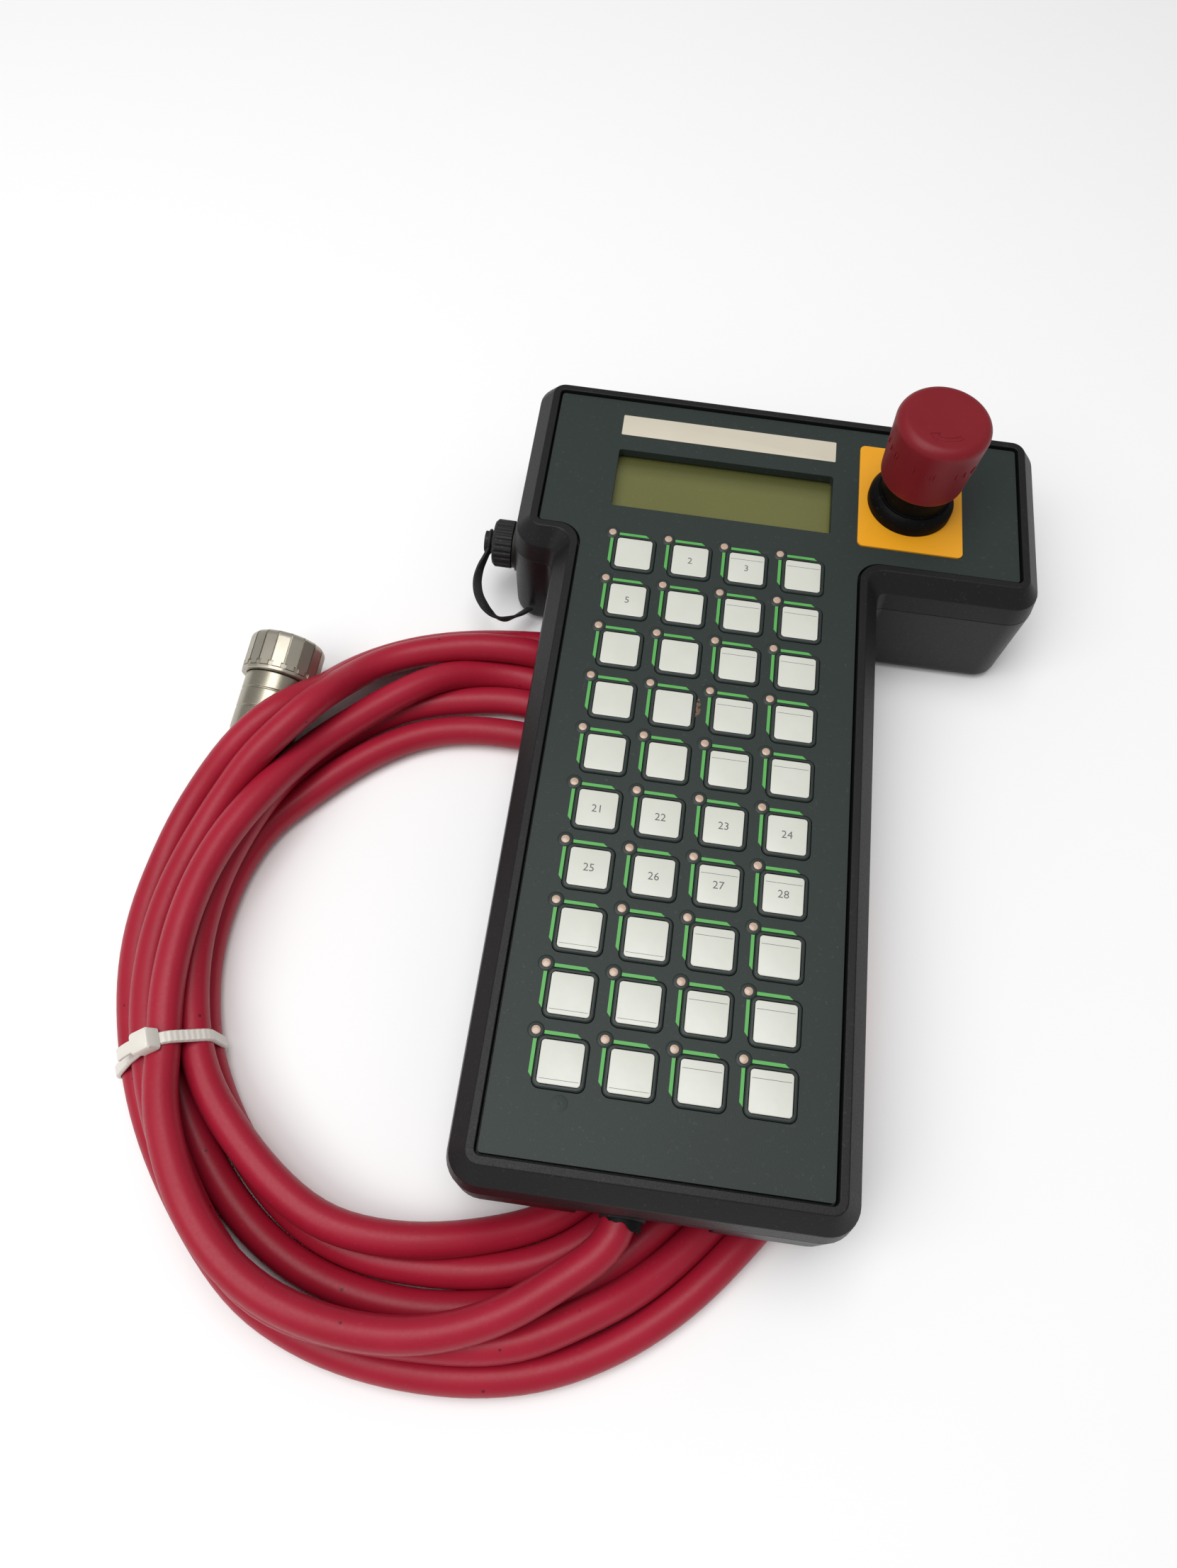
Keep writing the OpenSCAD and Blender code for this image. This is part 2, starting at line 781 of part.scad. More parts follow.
module port_cap() {
  z = port_flange_t + cap_gap;
  color([0.07, 0.07, 0.08]) at_port() difference() {
    union() {
      translate([0, 0, z]) cylinder(d = cap_d, h = cap_len - 1);
      translate([0, 0, z + cap_len - 1]) cylinder(d1 = cap_d, d2 = cap_d - 2, h = 1);
      translate([0, 0, z + cap_len - eps]) cylinder(d = boss_d, h = boss_len);
      translate([0, 0, z + cap_len + boss_len - boss_head_t])
        cylinder(d = boss_d + 1.6, h = boss_head_t);
    }
    translate([0, 0, z - 1]) cylinder(d = port_d + 2 * run_gap, h = port_stub + 1 + cap_wall / 2);
    for (i = [1 : knurls]) rotate([0, 0, 360 * i / knurls])
      translate([cap_d / 2 + 0.3, 0, z - 1]) cylinder(r = 0.7, h = cap_len + 2, $fn = 16);
  }
}

module cap_strap() {
  x = port_out - port_flange_t - cap_gap - cap_len - strap_gap - strap_t / 2;
  foot_y = head_low + wall_in(8) - 0.35;
  route = [
    [x, port_y - eye_d / 2 + 0.7, port_z], [x - 0.4, port_y - 9, 22.5],
    [x - 0.2, port_y - 14, 20.5], [x + 1.2, port_y - 19, 17.5],
    [x + 4, port_y - 23, 14.5], [x + 8.4, port_y - 24.4, 12],
    [x + 12.6, port_y - 22.6, 10], [x + 15.8, port_y - 19.6, 8.6],
    [-84, foot_y, 8]];
  color([0.08, 0.08, 0.09]) {
    translate([x, port_y, port_z]) rotate([0, -90, 0])
      translate([0, 0, -strap_t / 2]) difference() {
        cylinder(d = eye_d, h = strap_t);
        translate([0, 0, -1]) cylinder(d = boss_d + 0.4, h = strap_t + 2);
      }
    sweep(route, strap_t / 2, strap_w / 2, 8);
  }
}

// ---- Gland and cable ----

module cable_gland() {
  back = -notch_deep - wall;
  color([0.08, 0.08, 0.08]) at_gland() difference() {
    union() {
      translate([0, 0, back - gland_foot_t - gland_tail])
        cylinder(d = gland_d, h = gland_out - back + gland_foot_t + gland_tail);
      translate([-gland_foot_w / 2, -gland_foot_low, back - gland_foot_t])
        cube([gland_foot_w, gland_foot_w - 2, gland_foot_t]);
    }
    translate([0, 0, gland_out - gland_bore])
      cylinder(d = gland_bore_d, h = gland_bore + 1);
  }
}

module cord_lead() {
  color([0.66, 0.16, 0.26]) sweep(lead_points, cable_d / 2, cable_d / 2, 12);
}

// The outer shape of turns that lie h high, with sides that lean in by lean
module coil_turns(inner, outer, h, lean, angle) {
  c = coil_edge;
  top_in = inner + lean;
  top_out = outer - lean;
  rotate_extrude(angle = angle, $fn = 96)
    polygon([[inner + c, 0], [outer - c, 0], [outer, c], [outer, h / 2],
      [top_out, h - c], [top_out - c, h], [top_in + c, h],
      [top_in, h - c], [inner, h / 2], [inner, c]]);
}

// Room for the connector to lie in, open at the top
module plug_room(d, start) {
  r = d / 2 + plug_play;
  at_plug() translate([0, 0, start]) {
    cylinder(r = r, h = 2 * plug_len);
    translate([-r, -plug_len, 0]) cube([2 * r, plug_len, 2 * plug_len]);
  }
}

module cord_coil() {
  slot = tie_head[1] + 0.8;
  color([0.62, 0.14, 0.24]) difference() {
    translate([coil_at[0], coil_at[1], 0]) {
      coil_turns(coil_in + coil_slack, coil_out - coil_slack, coil_low, 0, 360);
      rotate([0, 0, mid_from])
        coil_turns(coil_in + coil_slack / 2, coil_out - coil_slack / 2,
          coil_mid, 0, high_from - mid_from + 3);
      rotate([0, 0, high_from])
        coil_turns(coil_in, coil_out, coil_high, coil_lean, high_to - high_from);
    }
    at_tie() translate([0, 0, -slot / 2]) difference() {
      translate([coil_in - 5, -1, 0])
        cube([coil_out - coil_in + 10, coil_high + 2, slot]);
      translate([0, 0, -1]) linear_extrude(slot + 2)
        polygon(stack_outline(tie_stack, cable_d / 2));
    }
    plug_room(plug_d, -plug_len);
    plug_room(ring_d, -1);
  }
}

// A band round the stacked turns, with its head block and tail
module cable_tie() {
  inner = cable_d / 2 + tie_play;
  color([0.86, 0.84, 0.82]) at_tie() {
    translate([0, 0, -tie_w / 2]) linear_extrude(tie_w) difference() {
      polygon(stack_outline(tie_stack, inner + tie_t));
      polygon(stack_outline(tie_stack, inner));
    }
    translate([tie_head_at, tie_head_up, 0]) rotate([0, 0, -tie_head_turn]) {
      translate([-tie_head[0] / 2, -0.3, -tie_head[1] / 2]) cube(
        [tie_head[0], tie_head[2], tie_head[1]]);
      translate([tie_head[0] / 2 - eps, tie_head[2] / 2 - tie_t, -tie_w / 2])
        cube([tie_tail, tie_t, tie_w]);
    }
  }
}

// ---- Connector ----

module connector_body() {
  r = plug_d / 2;
  back = -plug_rest;
  color([0.66, 0.64, 0.58]) at_plug() rotate_extrude()
    polygon([
      [0, -plug_len], [nut_r, -plug_len], [nut_r, -plug_len + nut_len],
      [nut_r + 0.6, -plug_len + nut_len], [r - 2.6, back - 6],
      [r - 0.9, back - 2.6], [r, back],
      [r, -13.4], [r - 0.4, -13.2], [r - 0.4, -12.8], [r, -12.6],
      [r, -6.6], [r - 0.4, -6.4], [r - 0.4, -6], [r, -5.8],
      [r, -seat_gap()], [neck_r, -seat_gap()], [neck_r, insert_end],
      [0, insert_end]]);
}

function seat_gap() = 0.3;

module coupling_ring() {
  r = ring_d / 2;
  color([0.7, 0.68, 0.62]) at_plug() difference() {
    union() {
      cylinder(r = r, h = ring_len - 1.2);
      translate([0, 0, ring_len - 1.2]) cylinder(r1 = r, r2 = r - 1, h = 1.2);
    }
    translate([0, 0, -1]) cylinder(r = neck_r + run_gap, h = ring_len);
    translate([0, 0, insert_end]) cylinder(r = thread_r, h = ring_len);
    for (i = [1 : flutes]) rotate([0, 0, 360 * i / flutes]) {
      translate([r - flute_deep, -flute_gap / 2, rear_rim])
        cube([flute_deep + 1, flute_gap, ring_len]);
      translate([r - flute_deep + 0.1, -notch_gap / 2, rear_rim + 0.1])
        cube([flute_deep + 1, notch_gap, notch_len]);
    }
  }
}

// ---- The pendant ----

upper_shell();
lower_shell();
front_panel();
keypad_board();
display_module();
status_lamps();
stop_plate();
stop_switch();
stop_plunger();
stop_knob();
port_socket();
port_cap();
cap_strap();
cable_gland();
cord_lead();
cord_coil();
cable_tie();
connector_body();
coupling_ring();
housing_screws();
key(1, 1);  // key_r01_c1
key(1, 2);  // key_r01_c2
key(1, 3);  // key_r01_c3
key(1, 4);  // key_r01_c4
key(2, 1);  // key_r02_c1
key(2, 2);  // key_r02_c2
key(2, 3);  // key_r02_c3
key(2, 4);  // key_r02_c4
key(3, 1);  // key_r03_c1
key(3, 2);  // key_r03_c2
key(3, 3);  // key_r03_c3
key(3, 4);  // key_r03_c4
key(4, 1);  // key_r04_c1
key(4, 2);  // key_r04_c2
key(4, 3);  // key_r04_c3
key(4, 4);  // key_r04_c4
key(5, 1);  // key_r05_c1
key(5, 2);  // key_r05_c2
key(5, 3);  // key_r05_c3
key(5, 4);  // key_r05_c4
key(6, 1);  // key_r06_c1
key(6, 2);  // key_r06_c2
key(6, 3);  // key_r06_c3
key(6, 4);  // key_r06_c4
key(7, 1);  // key_r07_c1
key(7, 2);  // key_r07_c2
key(7, 3);  // key_r07_c3
key(7, 4);  // key_r07_c4
key(8, 1);  // key_r08_c1
key(8, 2);  // key_r08_c2
key(8, 3);  // key_r08_c3
key(8, 4);  // key_r08_c4
key(9, 1);  // key_r09_c1
key(9, 2);  // key_r09_c2
key(9, 3);  // key_r09_c3
key(9, 4);  // key_r09_c4
key(10, 1);  // key_r10_c1
key(10, 2);  // key_r10_c2
key(10, 3);  // key_r10_c3
key(10, 4);  // key_r10_c4
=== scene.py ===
"""The looks of the teach pendant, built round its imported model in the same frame.

Lengths are in millimetres here and become metres when a piece's mesh is made.
"""

import json
import logging
import math
from dataclasses import dataclass
from enum import Enum
from typing import Optional, Sequence

import bmesh
import bpy
import numpy as np
from mathutils import Matrix, Vector

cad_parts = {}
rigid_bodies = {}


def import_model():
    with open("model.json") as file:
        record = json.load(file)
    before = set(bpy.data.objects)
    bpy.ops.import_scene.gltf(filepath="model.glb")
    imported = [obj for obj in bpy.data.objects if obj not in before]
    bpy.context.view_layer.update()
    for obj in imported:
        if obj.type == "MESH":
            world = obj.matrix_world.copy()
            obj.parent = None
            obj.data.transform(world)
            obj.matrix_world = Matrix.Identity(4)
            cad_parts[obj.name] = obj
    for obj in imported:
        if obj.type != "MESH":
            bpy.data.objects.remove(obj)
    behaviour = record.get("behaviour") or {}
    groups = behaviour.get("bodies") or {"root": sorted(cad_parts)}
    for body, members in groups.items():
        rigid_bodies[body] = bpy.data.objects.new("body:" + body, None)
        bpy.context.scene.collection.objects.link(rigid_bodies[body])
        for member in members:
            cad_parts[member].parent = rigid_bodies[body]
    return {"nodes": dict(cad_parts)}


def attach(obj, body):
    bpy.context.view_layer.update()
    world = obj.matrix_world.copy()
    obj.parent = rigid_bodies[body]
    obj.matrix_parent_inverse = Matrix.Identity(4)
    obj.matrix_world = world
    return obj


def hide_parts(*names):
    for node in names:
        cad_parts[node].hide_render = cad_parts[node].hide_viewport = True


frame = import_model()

MM = 0.001
Point = Sequence[float]
PANEL_TOP = 49.5
COIL_CENTRE = (-73.75, -172.55)
TIED_AT = 205.0
CABLE_R = 5.0
FLOAT, VECTOR, COLOUR = "NodeSocketFloat", "NodeSocketVector", "NodeSocketColor"
logging.basicConfig(level=logging.INFO, format="%(message)s")
log = logging.getLogger("pendant")


# ---- Meshes ----


def unit(v: Point) -> np.ndarray:
    """The direction of a vector.

    Args:
        v: the vector.

    Returns:
        It, at length 1.
    """
    a = np.asarray(v, float)
    return a / np.linalg.norm(a)


def placed(points: Sequence[Point], place: Matrix) -> np.ndarray:
    """Moves points into a place."""
    return np.array([place @ Vector(p) for p in points])


def circle(r: float, z: float, place: Matrix, segments: int) -> np.ndarray:
    """A ring about a place's Z axis.

    Args:
        r: its radius.
        z: its height along the axis.
        place: where the axis stands.
        segments: the number of points.

    Returns:
        The ring's points.
    """
    turns = np.linspace(0, 2 * math.pi, segments, endpoint=False)
    return placed([(r * math.cos(t), r * math.sin(t), z) for t in turns], place)


class Shape:
    """Collects the faces of one piece, in millimetres."""

    def __init__(self) -> None:
        self.verts: list[np.ndarray] = []
        self.faces: list[tuple[int, ...]] = []
        self.marks: list[int] = []

    def loft(
        self,
        rings: Sequence[np.ndarray],
        mark: int = 0,
        caps: bool = True,
        marks: Optional[Sequence[int]] = None,
    ) -> None:
        """Adds a skin through rings of equal length.

        Args:
            rings: the rings, each an array of points in order.
            mark: the index of the finish.
            caps: whether both ends are closed.
            marks: the finish of each band, in place of mark.
        """
        start, n = len(self.verts), len(rings[0])
        bands = list(marks or [mark] * (len(rings) - 1))
        for ring in rings:
            self.verts.extend(np.asarray(p, float) for p in ring)
        for k, band in enumerate(bands):
            a, b = start + k * n, start + (k + 1) * n
            for i in range(n):
                j = (i + 1) % n
                self.faces.append((a + i, a + j, b + j, b + i))
                self.marks.append(band)
        if caps:
            end = start + (len(rings) - 1) * n
            self.faces.append(tuple(range(start + n - 1, start - 1, -1)))
            self.faces.append(tuple(range(end, end + n)))
            self.marks += [bands[0], bands[-1]]

    def lathe(self, profile: Sequence[Point], place: Matrix, segments: int) -> None:
        """Adds a turned form.

        Args:
            profile: radius and height of each ring, from one end to the other.
            place: where the form's axis, +Z, stands.
            segments: the steps round it.
        """
        self.loft([circle(r, z, place, segments) for r, z in profile])

    def move(self, place: Matrix) -> None:
        """Moves all that the shape holds into a place."""
        self.verts = list(placed(self.verts, place))

    def plate(
        self, outline: np.ndarray, low: float, high: float, mark: int = 0
    ) -> None:
        """Adds a flat plate.

        Args:
            outline: its outline, as points in the plane.
            low: the height of its underside.
            high: the height of its face.
            mark: the index of the finish.
        """
        self.loft([at_height(outline, low), at_height(outline, high)], mark)

    def piece(
        self, name: str, finishes: Sequence[bpy.types.Material], sharp: float = 32.0
    ) -> bpy.types.Object:
        """Makes the object.

        Args:
            name: its name.
            finishes: its materials, in the order of the marks.
            sharp: the angle in degrees from which an edge is shaded sharp.

        Returns:
            The new object, at the origin, in metres.
        """
        mesh = bpy.data.meshes.new(name)
        mesh.from_pydata([tuple(v * MM) for v in self.verts], [], self.faces)
        for finish in finishes:
            mesh.materials.append(finish)
        mesh.polygons.foreach_set("material_index", self.marks)
        bm = bmesh.new()
        bm.from_mesh(mesh)
        bmesh.ops.recalc_face_normals(bm, faces=bm.faces)
        bm.to_mesh(mesh)
        bm.free()
        shade(mesh, sharp)
        return stand(name, mesh)


def stand(name: str, data: bpy.types.ID) -> bpy.types.Object:
    """Puts a mesh, a light or a camera into the scene, at the origin.

    Args:
        name: the object's name.
        data: what it shows.

    Returns:
        The object.
    """
    obj = bpy.data.objects.new(name, data)
    bpy.context.scene.collection.objects.link(obj)
    return obj


def shade(mesh: bpy.types.Mesh, sharp: float) -> None:
    """Shades a mesh smooth, apart from its sharp edges.

    Args:
        mesh: the mesh.
        sharp: the angle in degrees from which an edge is sharp.
    """
    mesh.polygons.foreach_set("use_smooth", [True] * len(mesh.polygons))
    mesh.set_sharp_from_angle(angle=math.radians(sharp))


def at_height(outline: np.ndarray, z: float) -> np.ndarray:
    """Lifts a flat outline to a height."""
    return np.column_stack([outline, np.full(len(outline), z)])


def arc(c: Point, r: float, a: float, b: float, steps: int = 8) -> np.ndarray:
    """Points on a circle's arc.

    Args:
        c: the centre.
        r: the radius.
        a: the first angle in degrees.
        b: the last angle in degrees.
        steps: the number of steps.

    Returns:
        The points, both ends included.
    """
    t = np.radians(np.linspace(a, b, steps + 1))
    return np.column_stack([c[0] + r * np.cos(t), c[1] + r * np.sin(t)])


def rounded(
    w: float, h: float, r: float, c: Point = (0, 0), steps: int = 6
) -> np.ndarray:
    """A rectangle's outline with round corners, anticlockwise.

    Args:
        w: the width.
        h: the height.
        r: the corners' radius.
        c: the centre.
        steps: the steps of each corner.

    Returns:
        The outline's points.
    """
    x, y = w / 2 - r, h / 2 - r
    corners = ((x, y, 0), (-x, y, 90), (-x, -y, 180), (x, -y, 270))
    return np.vstack(
        [arc((c[0] + dx, c[1] + dy), r, a, a + 90, steps) for dx, dy, a in corners]
    )


def levels_of(
    w: float, h: float, corner: float, levels: Sequence[Point],
    c: Point = (0, 0), steps: int = 6, ease: float = 0.0,
) -> list[np.ndarray]:
    """The outlines of a rounded plate at several heights.

    Args:
        w: the plate's width.
        h: its length.
        corner: its corners' radius.
        levels: each outline's distance in from the edge, and its height.
        c: the plate's middle.
        steps: the steps of each corner.
        ease: how much a corner's radius shrinks with that distance.

    Returns:
        The outlines.
    """
    return [
        at_height(rounded(w - 2 * i, h - 2 * i, corner - i * ease, c, steps), z)
        for i, z in levels
    ]


def plain_mesh(obj: bpy.types.Object) -> bpy.types.Mesh:
    """An object's form as a mesh, with its modifiers carried out."""
    graph = bpy.context.evaluated_depsgraph_get()
    return bpy.data.meshes.new_from_object(obj.evaluated_get(graph))


def settle(obj: bpy.types.Object) -> None:
    """Turns an object's modifiers into its mesh."""
    mesh = plain_mesh(obj)
    obj.modifiers.clear()
    old, obj.data = obj.data, mesh
    bpy.data.meshes.remove(old)


TINY = 1e-6
MERGE_M = 2e-6
FLAT_DEGREES = 0.6
BROKEN_DEGREES = 28.0
FACE_WEIGHT = 90


def softened(
    node: str, width: float, finish: bpy.types.Material
) -> bpy.types.Object:
    """Copies a CAD node's form and breaks its sharp edges, as moulding does.

    Args:
        node: the CAD node that the copy stands for.
        width: the width of each broken edge in millimetres.
        finish: the copy's material.

    Returns:
        The new piece, in the node's stead.
    """
    bm = bmesh.new()
    bm.from_mesh(frame["nodes"][node].data)
    bmesh.ops.remove_doubles(bm, verts=bm.verts, dist=MERGE_M)
    bmesh.ops.dissolve_limit(
        bm, angle_limit=math.radians(FLAT_DEGREES), verts=bm.verts, edges=bm.edges
    )
    for layer in list(bm.loops.layers.float_vector):
        bm.loops.layers.float_vector.remove(layer)
    mesh = bpy.data.meshes.new(node + "_form")
    bm.to_mesh(mesh)
    bm.free()
    for name in ("custom_normal", "sharp_edge", "sharp_face"):
        if name in mesh.attributes:
            mesh.attributes.remove(mesh.attributes[name])
    mesh.materials.clear()
    mesh.materials.append(finish)
    mesh.polygons.foreach_set("use_smooth", [True] * len(mesh.polygons))
    mesh.polygons.foreach_set("material_index", [0] * len(mesh.polygons))
    obj = stand(node + "_form", mesh)
    edge = obj.modifiers.new("edges", "BEVEL")
    edge.width = width * MM
    edge.segments = 2
    edge.limit_method = "ANGLE"
    edge.angle_limit = math.radians(BROKEN_DEGREES)
    edge.use_clamp_overlap = False
    edge.miter_outer = "MITER_SHARP"
    weigh = obj.modifiers.new("normals", "WEIGHTED_NORMAL")
    weigh.keep_sharp = False
    weigh.weight = FACE_WEIGHT
    settle(obj)
    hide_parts(node)
    log.info("%s: %d faces", obj.name, len(obj.data.polygons))
    return obj


# ---- Nodes ----


def linear(colour: Sequence[float]) -> tuple[float, float, float, float]:
    """Turns a screen colour of 0 to 255 into linear light."""
    out = []
    for c in colour[:3]:
        c = c / 255
        out.append(c / 12.92 if c <= 0.04045 else ((c + 0.055) / 1.055) ** 2.4)
    return out[0], out[1], out[2], 1.0


class Graph:
    """A node tree, with short ways to add nodes and links."""

    def __init__(self, tree: bpy.types.NodeTree) -> None:
        self.tree = tree

    def add(
        self, kind: str, values: Optional[dict] = None, **settings: str
    ) -> bpy.types.Node:
        """Adds a node.

        Args:
            kind: its type.
            values: the values of its inputs, by name or index.
            settings: its own settings.

        Returns:
            The node.
        """
        node = self.tree.nodes.new(kind)
        for name, value in settings.items():
            setattr(node, name, value)
        for key, value in (values or {}).items():
            node.inputs[key].default_value = value
        return node

    def link(self, *links: tuple) -> None:
        """Links nodes, each time from (node, output) to (node, input)."""
        for source, put_out, target, taken_in in links:
            self.tree.links.new(source.outputs[put_out], target.inputs[taken_in])

    def over(self, mask: bpy.types.NodeSocket, tone: tuple) -> None:
        """Lays a flat tone over a material's colour, where a mask says so.

        Args:
            mask: the mask's socket.
            tone: the tone, as a screen colour.
        """
        base = self.tree.nodes["Principled BSDF"].inputs["Base Color"]
        mix = self.add("ShaderNodeMix", {7: linear(tone)}, data_type="RGBA")
        self.tree.links.new(base.links[0].from_socket, mix.inputs[6])
        self.tree.links.new(mask, mix.inputs[0])
        self.tree.links.new(mix.outputs[2], base)


def group(
    name: str, kind: str, inputs: Sequence[tuple], outputs: Sequence[tuple]
) -> tuple[Graph, bpy.types.Node, bpy.types.Node]:
    """Makes a node group.

    Args:
        name: its name.
        kind: the type of its tree.
        inputs: the name and type of each input.
        outputs: the same for its outputs.

    Returns:
        The group's graph, the node of its inputs and the node of its outputs.
    """
    graph = Graph(bpy.data.node_groups.new(name, kind))
    for side, sockets in (("INPUT", inputs), ("OUTPUT", outputs)):
        for socket, form in sockets:
            graph.tree.interface.new_socket(name=socket, in_out=side, socket_type=form)
    return graph, graph.add("NodeGroupInput"), graph.add("NodeGroupOutput")


# ---- Repeats ----


class Repeater:
    """One geometry-node tree that sets a small form at many places."""

    def __init__(self) -> None:
        graph, given, out = group(
            "repeat", "GeometryNodeTree",
            (("Places", "NodeSocketGeometry"), ("Form", "NodeSocketObject"),
             ("Finish", "NodeSocketMaterial"), ("Smallest", FLOAT),
             ("Largest", FLOAT), ("Seed", "NodeSocketInt")),
            (("Result", "NodeSocketGeometry"),),
        )
        self.tree = graph.tree
        self.ids = {
            item.name: item.identifier
            for item in self.tree.interface.items_tree if item.in_out == "INPUT"
        }
        points = graph.add("GeometryNodeMeshToPoints")
        form = graph.add("GeometryNodeObjectInfo")
        turn = graph.add(
            "GeometryNodeInputNamedAttribute", {"Name": "turn"},
            data_type="FLOAT_VECTOR",
        )
        size = graph.add("FunctionNodeRandomValue", data_type="FLOAT")
        put = graph.add("GeometryNodeInstanceOnPoints")
        real = graph.add("GeometryNodeRealizeInstances")
        dress = graph.add("GeometryNodeSetMaterial")
        low, high = [s for s in size.inputs if s.type == "VALUE"][:2]
        scale = [s for s in size.outputs if s.type == "VALUE"][0]
        join = self.tree.links.new
        join(given.outputs["Smallest"], low)
        join(given.outputs["Largest"], high)
        join(scale, put.inputs["Scale"])
        graph.link(
            (given, "Places", points, "Mesh"),
            (given, "Form", form, "Object"),
            (points, "Points", put, "Points"),
            (form, "Geometry", put, "Instance"),
            (turn, "Attribute", put, "Rotation"),
            (given, "Seed", size, "Seed"),
            (put, "Instances", real, "Geometry"),
            (real, "Geometry", dress, "Geometry"),
            (given, "Finish", dress, "Material"),
            (dress, "Geometry", out, "Result"),
        )

    def spread(
        self,
        name: str,
        form: Shape,
        places: Sequence[Matrix],
        finish: bpy.types.Material,
        jitter: float = 0.0,
        seed: int = 1,
        sharp: float = 32.0,
    ) -> bpy.types.Object:
        """Sets a form at each place.

        Args:
            name: the new piece's name.
            form: the form, about its own origin.
            places: where each copy goes, in millimetres.
            finish: the material of them all.
            jitter: how much the copies' sizes differ, as a share.
            seed: the seed of that difference.
            sharp: the angle in degrees from which an edge is shaded sharp.

        Returns:
            One piece with every copy in its mesh.
        """
        one = form.piece(name + "_one", [finish], sharp)
        mesh = bpy.data.meshes.new(name)
        mesh.from_pydata([tuple(p.translation * MM) for p in places], [], [])
        turns = mesh.attributes.new("turn", "FLOAT_VECTOR", "POINT")
        for i, place in enumerate(places):
            turns.data[i].vector = place.to_3x3().to_euler("XYZ")
        obj = stand(name, mesh)
        repeat = obj.modifiers.new("repeat", "NODES")
        repeat.node_group = self.tree
        repeat[self.ids["Form"]] = one
        repeat[self.ids["Finish"]] = finish
        repeat[self.ids["Smallest"]] = 1 - jitter
        repeat[self.ids["Largest"]] = 1 + jitter
        repeat[self.ids["Seed"]] = seed
        settle(obj)
        if "turn" in obj.data.attributes:
            obj.data.attributes.remove(obj.data.attributes["turn"])
        bpy.data.objects.remove(one)
        log.info("%s: %d copies", name, len(places))
        return obj


# ---- Finishes ----


class Grain(Enum):
    """How the surface of a finish is broken up: the share of cells in its noise."""

    SPECKLE = 0.0
    PEBBLE = 1.0


@dataclass(frozen=True)
class Finish:
    """What one finish looks like."""

    colour: tuple
    second: tuple
    roughness: float = 0.5
    metallic: float = 0.0
    grain: Grain = Grain.SPECKLE
    grain_mm: float = 0.4
    relief: float = 0.2
    patch_mm: float = 25.0
    patch: float = 0.35
    dust: float = 0.0
    dust_colour: tuple = (190, 186, 176)
    shine: float = 0.5
    coat: float = 0.0
    rough_spread: float = 0.08


RELIEF_M = 0.0002
DUST_SCALE = 900.0
DUST_FROM, DUST_TO = 0.62, 0.78


